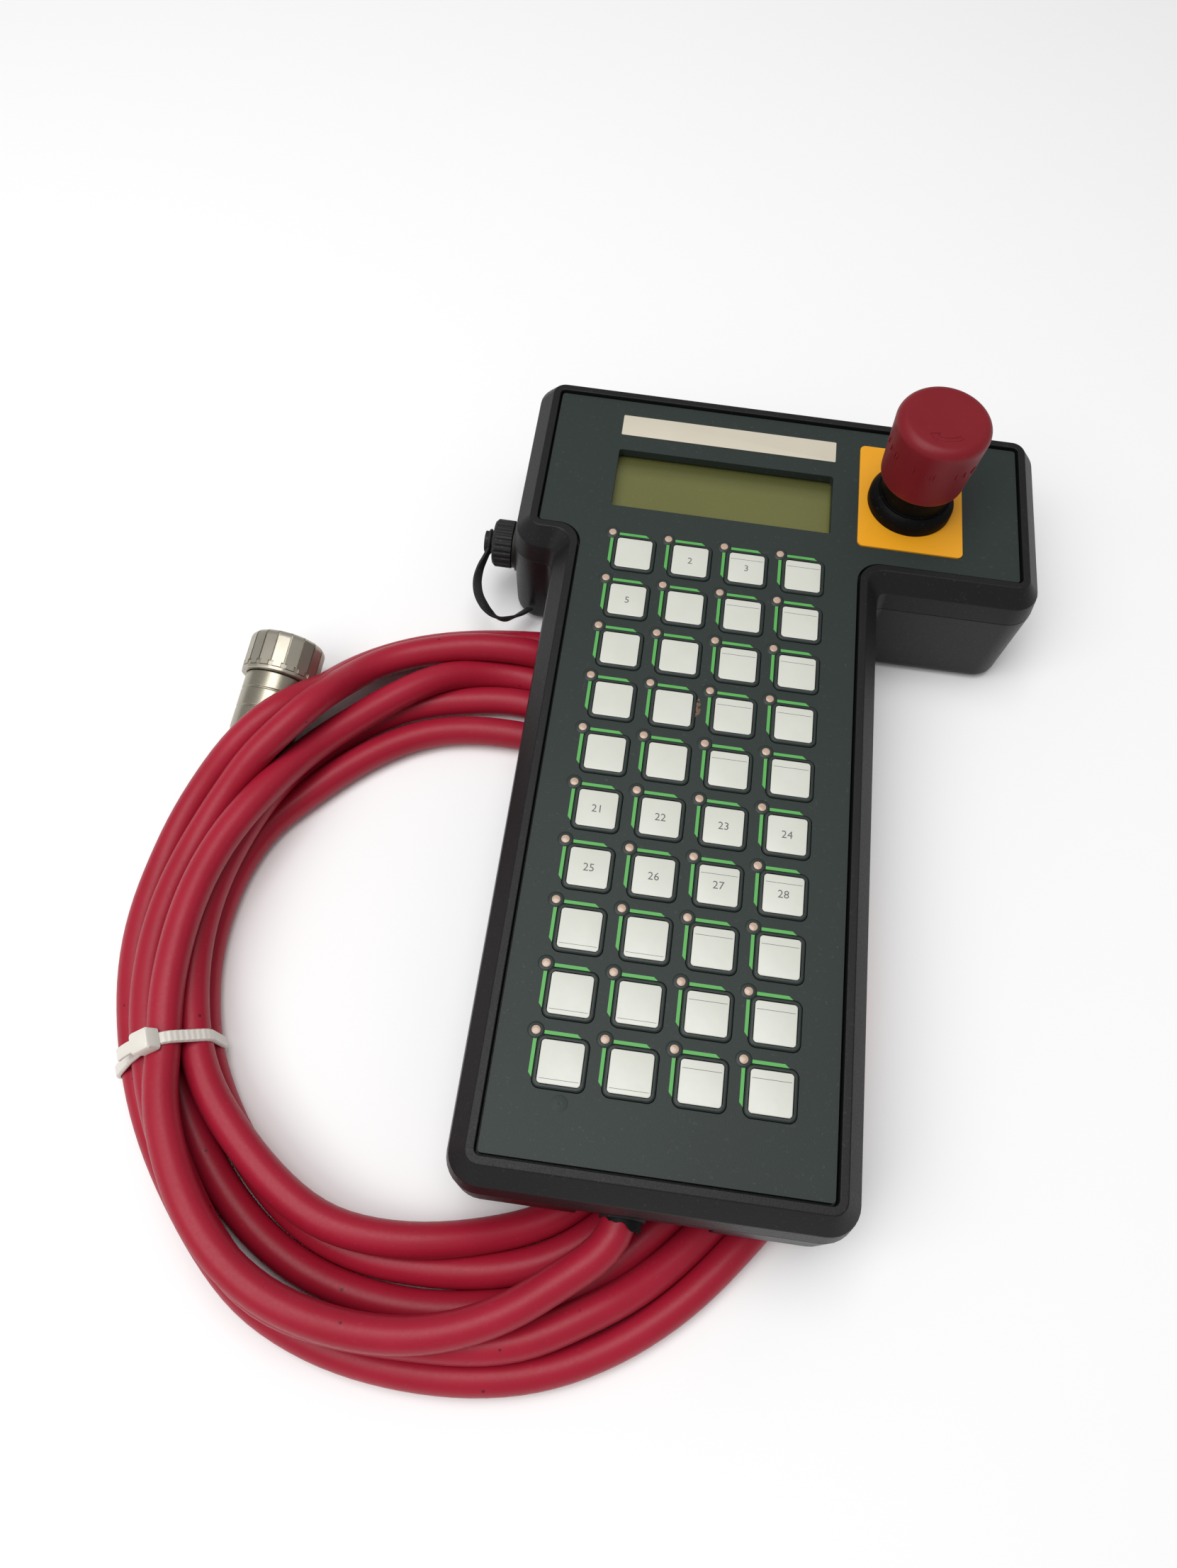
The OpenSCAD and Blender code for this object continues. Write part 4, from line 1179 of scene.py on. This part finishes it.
class Connector:
    """The round connector on the cable's end."""

    turn, tilt = math.radians(4.3), math.radians(11)
    radius = 11.0
    rest = 20.0
    length = 40.0
    ring_r = 12.9
    ring_len = 14.5
    flutes = 18
    flute_gap = 0.55
    flute_deep = 0.7
    notch_gap = 1.9

    def __init__(self) -> None:
        turn, tilt = self.turn, self.tilt
        self.axis = (
            math.sin(turn) * math.cos(tilt),
            math.cos(turn) * math.cos(tilt),
            math.sin(tilt),
        )
        high = self.radius * math.cos(tilt) + self.rest * math.sin(tilt)
        self.origin = (-164.9, -86.2, high)
        self.pieces: list[bpy.types.Object] = []

    def rear(self) -> tuple:
        """The middle of the rear end."""
        return tuple(o - self.length * a for o, a in zip(self.origin, self.axis))

    def reach(self, along: np.ndarray) -> np.ndarray:
        """The connector's radius at distances along its axis; 0 beyond it."""
        return np.interp(
            along,
            [-self.length - 0.1, -self.length, -34, -26, -20, 0, 0.1,
             self.ring_len, self.ring_len + 0.1],
            [0, 6.4, 6.4, 8.4, self.radius, self.radius, self.ring_r,
             self.ring_r, 0],
        )

    def place(self) -> Matrix:
        """The connector's own frame, with +Z to its mating end."""
        z = Vector(self.axis).normalized()
        x = Vector((0, 0, 1)).cross(z).normalized()
        turn = Matrix((x, z.cross(x), z)).transposed().to_4x4()
        return Matrix.Translation(self.origin) @ turn

    def fluted_ring(self, paints: Paints, place: Matrix) -> bpy.types.Object:
        """Makes the coupling ring, with flat flutes parted by grooves.

        Args:
            paints: the materials.
            place: the connector's own frame.

        Returns:
            The piece.
        """
        r, end, deep = self.ring_r, self.ring_len, self.flute_deep

        def outline(groove: float, depth: float, shrink: float, z: float) -> np.ndarray:
            """One section, whose grooves have this width and depth."""
            half = math.pi / self.flutes
            cut = groove / 2 / r
            points = []
            for i in range(self.flutes):
                t = 2 * half * i
                for a, d in ((-half, depth), (-half + cut, depth),
                             (-half + cut * 1.02, 0), (half - cut * 1.02, 0),
                             (half - cut, depth)):
                    q = r - shrink - d
                    points.append((q * math.cos(t + a), q * math.sin(t + a), z))
            return placed(points, place)

        gap, notch = self.flute_gap, self.notch_gap
        rings = [outline(gap, 0, shrink, z) for shrink, z in (
            (1.6, 0.0), (0.35, 0.02), (0.05, 0.25), (0.0, 0.5), (0.0, 1.25),
            (0.22, 1.38), (0.5, 1.5))]
        rings += [outline(notch, deep * 0.8, 0.02, z) for z in (1.52, 3.1)]
        rings += [outline(gap, d, shrink, z) for d, shrink, z in (
            (deep, 0.0, 3.14), (deep, 0.0, end - 2.4), (deep * 0.8, 0.12, end - 1.6),
            (deep * 0.5, 0.4, end - 0.9), (deep * 0.2, 0.85, end - 0.35),
            (0.0, 1.3, end), (0.0, 2.2, end), (0.0, 2.6, end - 0.4),
            (0.0, 2.7, 6.8), (0.0, 1.75, 6.0), (0.0, 1.75, 0.0))]
        shape = Shape()
        shape.loft(rings + [rings[0]], caps=False)
        ring = shape.piece("ring_form", [paints["ring_nickel"]], 15)
        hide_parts("coupling_ring")
        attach(ring, "coupling_ring")
        return ring

    def build(self, paints: Paints, repeats: Repeater) -> None:
        """Makes the connector's pieces."""
        body = softened("connector_body", 0.15, paints["nickel"])
        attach(body, "base")
        place = self.place()
        ring = self.fluted_ring(paints, place)
        face = Shape()
        face.lathe(
            [(0.01, 5.4), (8.6, 5.4), (8.6, 6.1), (8.2, 6.5), (0.01, 6.5)], place, 48
        )
        insert = face.piece("insert", [paints["insert"]])
        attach(insert, "base")
        pin = Shape()
        pin.lathe(
            [(0.01, 0), (0.5, 0), (0.5, 3.6), (0.35, 4.1), (0.01, 4.2)],
            Matrix.Identity(4), 12,
        )
        places = []
        for count, r in ((11, 6.3), (5, 3.1), (1, 0.0)):
            for i in range(count):
                t = 2 * math.pi * i / count
                at = place @ Vector((r * math.cos(t), r * math.sin(t), 6.3))
                places.append(Matrix.Translation(at) @ place.to_3x3().to_4x4())
        pins = repeats.spread("pins", pin, places, paints["pin"])
        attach(pins, "base")
        self.pieces = [body, ring, insert, pins]


# ---- Housing and panel ----


class Housing:
    """The pieces in their packed forms: shells, gland, port, stop switch, screws."""

    gland_end = -244.95

    def build(self, paints: Paints) -> None:
        """Makes them with broken edges, and ends the gland inside its notch."""
        for node, width, paint, body, slot in (
            ("upper_shell", 0.3, "housing", "base", "housing"),
            ("lower_shell", 0.15, "shell", "base", "housing"),
            ("cable_gland", 0.1, "rubber", "base", "black_rubber"),
            # the port socket takes the nickel darkened as painted shade from its cap
            ("port_socket", 0.15, "shaded_nickel", "base", "nickel"),
            ("port_cap", 0.1, "rubber", "port_cap", "black_rubber"),
            ("stop_switch", 0.25, "collar", "base", "black_plastic"),
            ("stop_plunger", 0.2, "plunger", "stop_plunger", "dark_plastic"),
            ("housing_screws", 0.15, "steel", "base", "steel"),
        ):
            piece = softened(node, width, paints[paint])
            if node == "cable_gland":
                for vert in piece.data.vertices:
                    vert.co.y = max(vert.co.y, self.gland_end * MM)
            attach(piece, body)


@dataclass(frozen=True)
class CapStrap:
    """The cap's rubber strap: an eye on the cap's boss and a twisted ribbon.

    A station is a point on the ribbon's middle, its width and the angle in
    degrees at which it leans out of the level.
    """

    axis_y: float = -21.5
    axis_z: float = 23.5
    eye_x: float = -101.05
    eye_r: float = 4.6
    eye_bore: float = 2.75
    thick: float = 1.1
    stations: tuple = (
        ((-101.1, -25.2, 23.3), 4.0, 90), ((-101.9, -28.5, 22.9), 3.4, 80),
        ((-103.0, -32.5, 22.0), 3.2, 55), ((-103.4, -36.5, 20.6), 3.3, 30),
        ((-102.6, -40.5, 18.8), 3.4, 14), ((-100.4, -43.8, 16.7), 3.4, 10),
        ((-97.4, -46.0, 14.6), 3.1, 24), ((-94.4, -46.8, 12.9), 2.8, 60),
        ((-91.6, -45.8, 11.4), 3.0, 78), ((-89.0, -43.6, 10.2), 3.3, 58),
        ((-86.4, -40.6, 9.0), 3.4, 40), ((-84.2, -37.6, 8.0), 3.4, 36),
    )

    def build(self, paints: Paints) -> None:
        """Makes the strap in one piece."""
        route = np.array([point for point, _, _ in self.stations], float)
        run = run_along(route)
        at = np.linspace(0, run[-1], 56)
        path = np.column_stack([smooth_between(run, axis, at) for axis in route.T])
        smooth(path, 3)
        widths, leans = np.array([other for _, *other in self.stations], float).T
        width = smooth_between(run, widths, at)
        lean = np.radians(smooth_between(run, leans, at))
        along = np.gradient(path, axis=0)
        shape = Shape()
        rings = []
        for point, t, w, a in zip(path, along, width, lean):
            t = unit(t)
            level = unit(np.cross(t, (0, 0, 1)))
            broad = unit(math.cos(a) * level + math.sin(a) * np.cross(level, t))
            flat = np.cross(t, broad)
            section = rounded(w, self.thick, 0.4, steps=3)
            rings.append(point + section[:, :1] * broad + section[:, 1:] * flat)
        shape.loft(rings)
        place = Matrix.Translation((self.eye_x, self.axis_y, self.axis_z))
        place = place @ Matrix.Rotation(math.radians(-90), 4, "Y")
        h, e = self.thick / 2 - 0.05, 0.25
        profile = ((self.eye_bore, -h), (self.eye_r - e, -h), (self.eye_r, -h + e),
                   (self.eye_r, h - e), (self.eye_r - e, h), (self.eye_bore, h),
                   (self.eye_bore, -h))
        shape.loft([circle(r, z, place, 40) for r, z in profile], caps=False)
        strap = shape.piece("strap", [paints["rubber"]], 40)
        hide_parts("cap_strap")
        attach(strap, "base")


@dataclass(frozen=True)
class Wear:
    """What use has left: the gland's torn sleeve, a scuff and a dent."""

    sleeve: tuple = ((-26.0, -243.6, 24.5), (-26.0, -245.4, 24.5),
                     (-26.05, -246.6, 24.5))
    sleeve_r: float = 5.6
    sleeve_sides: int = 40
    scuff_at: tuple = (-21.8, -95.0)
    scuff_size: tuple = (1.5, 4.4)
    flake: tuple = ((-0.3, -0.12), (0.1, -0.26), (0.34, 0.02), (0.08, 0.2),
                    (-0.2, 0.16))
    flakes: int = 70
    dent_at: tuple = (-47.4, -220.6)
    seed: int = 7

    def build(self, paints: Paints, repeats: Repeater) -> None:
        """Makes them."""
        rng = np.random.default_rng(self.seed)
        self.torn_sleeve(paints, rng)
        self.scuff(paints, repeats, rng)
        dent = Shape()
        dent.lathe(
            [(2.4, -0.03), (2.3, 0.004), (1.5, 0.05), (0.9, 0.13), (0.5, 0.15),
             (0.25, 0.09), (0.01, 0.06)],
            Matrix.Translation((*self.dent_at, PANEL_TOP)), 28,
        )
        bump = dent.piece("dent", [paints["foil"]], 60)
        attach(bump, "base")

    def torn_sleeve(self, paints: Paints, rng: np.random.Generator) -> None:
        """Makes the sleeve's torn end.

        Args:
            paints: the materials.
            rng: where the random numbers come from.
        """
        path = evenly(np.array(self.sleeve, float), 0.55)
        sides = self.sleeve_sides
        rings = tube(path, self.sleeve_r, sides)
        turns = np.linspace(0, 2 * math.pi, sides, endpoint=False)
        ragged = 0.5 * np.sin(turns * 3 + 1) + 0.4 * np.sin(turns * 7)
        ragged += rng.uniform(-0.3, 0.3, sides) - 1.0 * np.cos(turns)
        middle = path[-1]
        end = unit(middle - path[-2])
        rings[-1] = rings[-1] + ragged[:, None] * end
        inner = middle + (rings[-1] - middle) * 0.9
        sleeve = Shape()
        sleeve.loft(rings + [inner], caps=False)
        torn = sleeve.piece("torn_sleeve", [paints["torn"]], 40)
        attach(torn, "base")

    def scuff(
        self, paints: Paints, repeats: Repeater, rng: np.random.Generator
    ) -> None:
        """Makes the scuff from small flakes.

        Args:
            paints: the materials.
            repeats: what sets the flakes.
            rng: where the random numbers come from.
        """
        flake = Shape()
        flake.plate(np.array(self.flake), -0.02, 0.07)
        places = []
        for _ in range(self.flakes):
            dx, dy = rng.normal(0, 0.36, 2) * self.scuff_size
            spin = Matrix.Rotation(rng.uniform(0, 2 * math.pi), 4, "Z")
            at = (self.scuff_at[0] + dx, self.scuff_at[1] + dy, PANEL_TOP)
            places.append(Matrix.Translation(at) @ spin)
        scuff = repeats.spread("scuff", flake, places, paints["scuff"], 0.5, self.seed)
        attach(scuff, "base")


@dataclass(frozen=True)
class Keypad:
    """The keys in their grid, and what is printed and raised beside each key.

    A level of the profile or the film is a distance in from the edge, and a
    height from the key's top or from the window's floor.
    """

    pitch: float = 19.05
    middle_x: float = -20.0
    first_y: float = -38.7
    rows: int = 10
    columns: int = 4
    top: float = 50.2
    width: float = 14.4
    corner: float = 2.2
    profile: tuple = ((0, -3.0), (0, -0.66), (0.05, -0.42), (0.2, -0.2),
                      (0.42, -0.05), (0.7, 0.0), (0.98, 0.0), (1.1, -0.08),
                      (1.15, -0.34))
    window: float = 12.1
    window_deep: float = 0.35
    film: tuple = ((0.14, 0.0), (0.14, 0.12), (0.32, 0.18))
    film_top: float = 0.182
    line_from: float = 0.02
    line_to: float = 0.012
    number_h: float = 2.6
    number_up: float = 0.006
    sharp: float = 16.0
    lamp: tuple = (-8.0, 8.15)
    lens: tuple = ((0.01, -0.1), (1.28, -0.1), (1.28, 0.24), (1.16, 0.36),
                   (0.8, 0.44), (0.4, 0.47), (0.01, 0.48))
    ring: tuple = ((1.3, -0.3), (2.5, -0.3), (2.42, 0.0), (2.2, 0.2),
                   (1.85, 0.33), (1.5, 0.36), (1.34, 0.26), (1.3, 0.1))
    bars: tuple = (((-5.6, 7.4), (4.6, 7.4), (3.4, 8.4), (-5.6, 8.4)),
                   ((-8.4, -3.4), (-7.4, -4.6), (-7.4, 5.9), (-8.4, 5.9)))
    numbered: tuple = ((1, 2), (1, 3), (2, 1), (6, 1), (6, 2), (6, 3), (6, 4),
                       (7, 1), (7, 2), (7, 3), (7, 4))

    def at(self, row: int, column: int) -> tuple[float, float]:
        """The middle of a key."""
        return (
            self.middle_x + (column - (self.columns + 1) / 2) * self.pitch,
            self.first_y - (row - 1) * self.pitch,
        )

    def places(self, dx: float = 0, dy: float = 0, z: float = 0) -> list[Matrix]:
        """A place beside every key."""
        out = []
        for row in range(1, self.rows + 1):
            for column in range(1, self.columns + 1):
                x, y = self.at(row, column)
                out.append(Matrix.Translation((x + dx, y + dy, z)))
        return out

    def key(self, paints: Paints, row: int, column: int) -> None:
        """Makes one key: its frame, its label film and the label's print.

        Args:
            paints: the materials.
            row: its row, from the head.
            column: its column, from the left.
        """
        name = f"key_r{row:02d}_c{column}"
        c = x, y = self.at(row, column)
        w = self.window
        shape = Shape()
        rings = levels_of(
            self.width, self.width, self.corner,
            [(inset, self.top + z) for inset, z in self.profile], c, ease=0.55,
        )
        # the last two bands, the frame's inner wall down to the window, take the
        # painted shade
        shape.loft(rings, marks=[0] * (len(rings) - 3) + [3, 3])
        floor = self.top - self.window_deep
        levels = [(inset, floor + z) for inset, z in self.film]
        shape.loft(levels_of(w, w, 1.0, levels, c, steps=4, ease=0.5), 1)
        skin = floor + self.film_top
        thick, rise = 0.0, 0.0
        if column > 2 and row != 6:
            thick, rise = 0.14, 0.29
        elif row > 7:
            thick, rise = 0.12, -0.38
        if thick:
            line = rounded(w - 1.2, thick, 0.05, (x, y + w * rise), 1)
            shape.plate(line, skin - self.line_from, skin + self.line_to, 2)
        finishes = [paints[p] for p in ("frame_foil", "label", "ink", "groove")]
        piece = shape.piece(name + "_cap", finishes, self.sharp)
        if (row, column) in self.numbered:
            number = digits(str((row - 1) * self.columns + column), self.number_h)
            place = Vector((x, y, skin + self.number_up)) * MM
            number.transform(Matrix.Translation(place))
            bm = bmesh.new()
            bm.from_mesh(piece.data)
            start = len(bm.faces)
            bm.from_mesh(number)
            bm.faces.ensure_lookup_table()
            for face in bm.faces[start:]:
                face.material_index = 2
            bm.to_mesh(piece.data)
            bm.free()
            bpy.data.meshes.remove(number)
            shade(piece.data, self.sharp)
        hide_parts(name)
        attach(piece, name)

    def build(self, paints: Paints, repeats: Repeater) -> None:
        """Makes the keys, the lamps with their rings, and the green bars."""
        for row in range(1, self.rows + 1):
            for column in range(1, self.columns + 1):
                self.key(paints, row, column)
        lens, ring, bars = Shape(), Shape(), Shape()
        lens.lathe(self.lens, Matrix.Identity(4), 24)
        ring.lathe(self.ring, Matrix.Identity(4), 32)
        for outline in self.bars:
            bars.plate(np.array(outline), -0.02, 0.045)
        at_lamp = self.places(*self.lamp, PANEL_TOP)
        at_key = self.places(0, 0, PANEL_TOP)
        for name, form, places, paint, slot, sharp in (
            ("lamp_lenses", lens, at_lamp, "lamp", "lamp", 32.0),
            ("lamp_rings", ring, at_lamp, "frame_foil", "foil", 32.0),
            ("green_bars", bars, at_key, "green", "foil", 20.0),
        ):
            piece = repeats.spread(name, form, places, paints[paint], sharp=sharp)
            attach(piece, "base")


def digits(text: str, size: float) -> bpy.types.Mesh:
    """A plain number as a thin mesh about the origin, in metres.

    Args:
        text: the digits.
        size: their height in millimetres.

    Returns:
        The mesh.
    """
    curve = bpy.data.curves.new("digits", "FONT")
    curve.body = text
    curve.size = size * 1.35 * MM
    curve.align_x = "CENTER"
    curve.align_y = "CENTER"
    curve.extrude = 0.000008
    curve.resolution_u = 2
    obj = stand("digits", curve)
    mesh = plain_mesh(obj)
    bpy.data.objects.remove(obj)
    bpy.data.curves.remove(curve)
    return mesh


@dataclass(frozen=True)
class NameStrip:
    """The bare cream strip above the display, and the fine frame round it."""

    centre: tuple = (-20.5, 17.65)
    width: float = 76.6
    length: float = 9.1
    frame: float = 0.5
    levels: tuple = ((0.0, -0.03), (0.0, 0.05), (0.12, 0.08))
    frame_levels: tuple = ((0.0, -0.03), (0.0, 0.03))

    def build(self, paints: Paints) -> None:
        """Makes the strip and its frame."""
        for name, grow, corner, levels, paint, slot in (
            ("name_strip", 0.0, 0.4, self.levels, "strip", "key_plastic"),
            ("strip_edge", self.frame, 0.7, self.frame_levels, "frame_foil", "foil"),
        ):
            w, h = self.width + 2 * grow, self.length + 2 * grow
            lifted = [(inset, PANEL_TOP + z) for inset, z in levels]
            shape = Shape()
            shape.loft(levels_of(w, h, corner, lifted, self.centre))
            piece = shape.piece(name, [paints[paint]])
            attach(piece, "base")


@dataclass(frozen=True)
class StopStation:
    """The stop button's knob, with the arrow on it and the ridges round it."""

    centre: tuple = (44.0, -1.5)
    low: float = 64.9
    height: float = 25.9
    low_r: float = 14.2
    top_r: float = 15.5
    edge: float = 3.5
    bore_r: float = 12.3
    ceiling: float = 75.0
    arrow_r: float = 8.7
    arrow_turn: tuple = (-55.0, -109.0, -127.0)
    arrow_w: float = 0.7
    arrow_head: float = 1.9
    arrow_line: float = 0.16
    tick_drop: float = 11.0
    ticks: tuple = (-176, -164, -152, -148, -120, -108, -96, -92, -64, -52, -40,
                    -36, -8, 4, 16, 20, 48, 60, 72, 76, 104, 116, 128, 132)

    def build(self, paints: Paints, repeats: Repeater) -> None:
        """Makes the knob, its arrow and the small ridges round its side."""
        top = self.low + self.height
        self.knob(paints, top)
        self.arrow(paints, top)
        tick = Shape()
        tick.loft(
            levels_of(0.9, 0.45, 0.1, ((0, -1.1), (0, 0.9), (0.12, 1.1)), steps=2)
        )
        z = top - self.tick_drop
        r = self.low_r + (self.top_r - self.low_r) * (z - self.low) / self.height
        places = []
        for degrees in self.ticks:
            a = math.radians(degrees)
            at = Vector((r * math.cos(a), r * math.sin(a), z))
            spin = Matrix.Rotation(a, 4, "Z")
            places.append(Matrix.Translation(at + Vector((*self.centre, 0))) @ spin)
        marks = repeats.spread("knob_ticks", tick, places, paints["knob"])
        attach(marks, "stop_knob")

    def knob(self, paints: Paints, top: float) -> None:
        """Makes the knob, which is hollow from below.

        Args:
            paints: the materials.
            top: the height of its top.
        """
        c, r, bore, low = self.edge, self.top_r, self.bore_r, self.low
        profile = [(0.01, self.ceiling), (bore - 0.4, self.ceiling),
                   (bore, self.ceiling - 0.4), (bore, low + 0.3),
                   (bore + 0.3, low), (self.low_r - 0.6, low),
                   (self.low_r - 0.15, low + 0.25), (self.low_r, low + 0.8)]
        for z in np.linspace(low + 2, top - c, 8):
            t = (z - low) / (self.height - c)
            profile.append((self.low_r + (r - self.low_r) * t, float(z)))
        for a in np.radians(np.linspace(8, 90, 12)):
            profile.append((r - c + c * math.cos(a), top - c + c * math.sin(a)))
        profile += [(8.0, top - 0.12), (4.0, top - 0.25), (0.01, top - 0.3)]
        knob = Shape()
        knob.lathe(profile, Matrix.Translation((*self.centre, 0)), 112)
        piece = knob.piece("knob", [paints["knob"]], 40)
        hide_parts("stop_knob")
        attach(piece, "stop_knob")

    def arrow(self, paints: Paints, top: float) -> None:
        """Makes the raised outline of the arrow on the knob.

        Args:
            paints: the materials.
            top: the height of the knob's top.
        """
        tail, neck, tip = self.arrow_turn
        mid, w = self.arrow_r, self.arrow_w
        outer, inner = (arc((0, 0), mid + d, neck, tail, 14) for d in (w, -w))
        head = [arc((0, 0), r, a, a, 0) for r, a in (
            (mid + self.arrow_head, neck), (mid, tip), (mid - self.arrow_head, neck))]
        closed = np.vstack([head[0], outer, inner[::-1], head[2], head[1], head[0]])
        arrow = Shape()
        arrow.loft(tube(at_height(closed, 0.0), self.arrow_line, 8))
        arrow.move(Matrix.Translation((*self.centre, top - 0.1)))
        mark = arrow.piece("arrow", [paints["knob"]], 60)
        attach(mark, "stop_knob")


class Panel:
    """The foil, the display and the pieces that keep their packed forms."""

    view_y = -6.3
    view_h = 25.2
    glass_z = 45.55

    def display_paint(self, paints: Paints) -> None:
        """Paints the shadow of the window's edge on the glass towards its top, and
        blackens what is under it.
        """
        graph = Graph(paints["display"].node_tree)
        y, h = self.view_y * MM, self.view_h * MM
        place = graph.add("ShaderNodeTexCoord")
        parts = graph.add("ShaderNodeSeparateXYZ")
        # painted shadow of the window's recessed edge, full over the glass's upper half
        top_shadow = graph.add(
            "ShaderNodeMapRange",
            {"From Min": y + h * 0.12, "From Max": y + h * 0.52,
             "To Min": 0.0, "To Max": 0.62},
            interpolation_type="SMOOTHSTEP",
        )
        over = graph.add(
            "ShaderNodeMath", {1: self.glass_z * MM}, operation="GREATER_THAN"
        )
        graph.link(
            (place, "Object", parts, 0),
            (parts, "Y", top_shadow, "Value"),
            (parts, "Z", over, 0),
        )
        # lays the painted shadow's tone on the glass
        graph.over(top_shadow.outputs["Result"], (44, 46, 22))
        graph.over(over.outputs[0], (24, 26, 22))

    def build(self, paints: Paints) -> None:
        """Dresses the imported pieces."""
        self.display_paint(paints)
        for node, paint in (
            ("front_panel", "foil"),
            ("keypad_board", "board"),
            ("display_module", "display"),
            ("status_lamps", "lamp"),
            ("stop_plate", "yellow"),
        ):
            obj = frame["nodes"][node]
            for place in obj.material_slots:
                place.material = paints[paint]
            if not obj.material_slots:
                obj.data.materials.append(paints[paint])


def speckle(material: bpy.types.Material) -> None:
    """Sets small dark specks on the cable's material."""
    graph = Graph(material.node_tree)
    place = graph.add("ShaderNodeTexCoord")
    specks = graph.add("ShaderNodeTexVoronoi", {"Scale": 95.0, "Randomness": 1.0})
    near = graph.add(
        "ShaderNodeMapRange",
        {"From Min": 0.04, "From Max": 0.055, "To Min": 0.75, "To Max": 0.0},
    )
    graph.link(
        (place, "Object", specks, "Vector"), (specks, "Distance", near, "Value")
    )
    graph.over(near.outputs["Result"], (60, 14, 22))


def main() -> None:
    """Builds the scene."""
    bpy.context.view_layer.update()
    studio = Studio()
    studio.camera()
    paints = Paints()
    for name, finish in FINISHES.items():
        paints.make(name, finish)
    speckle(paints["cable"])
    repeats = Repeater()
    plug = Connector()
    plug.build(paints, repeats)
    tie = CableTie().build(paints)
    CableRun().build(paints, plug, tie)
    Housing().build(paints)
    CapStrap().build(paints)
    Panel().build(paints)
    Keypad().build(paints, repeats)
    Wear().build(paints, repeats)
    NameStrip().build(paints)
    StopStation().build(paints, repeats)
    studio.build()


if __name__ == "__main__":
    main()
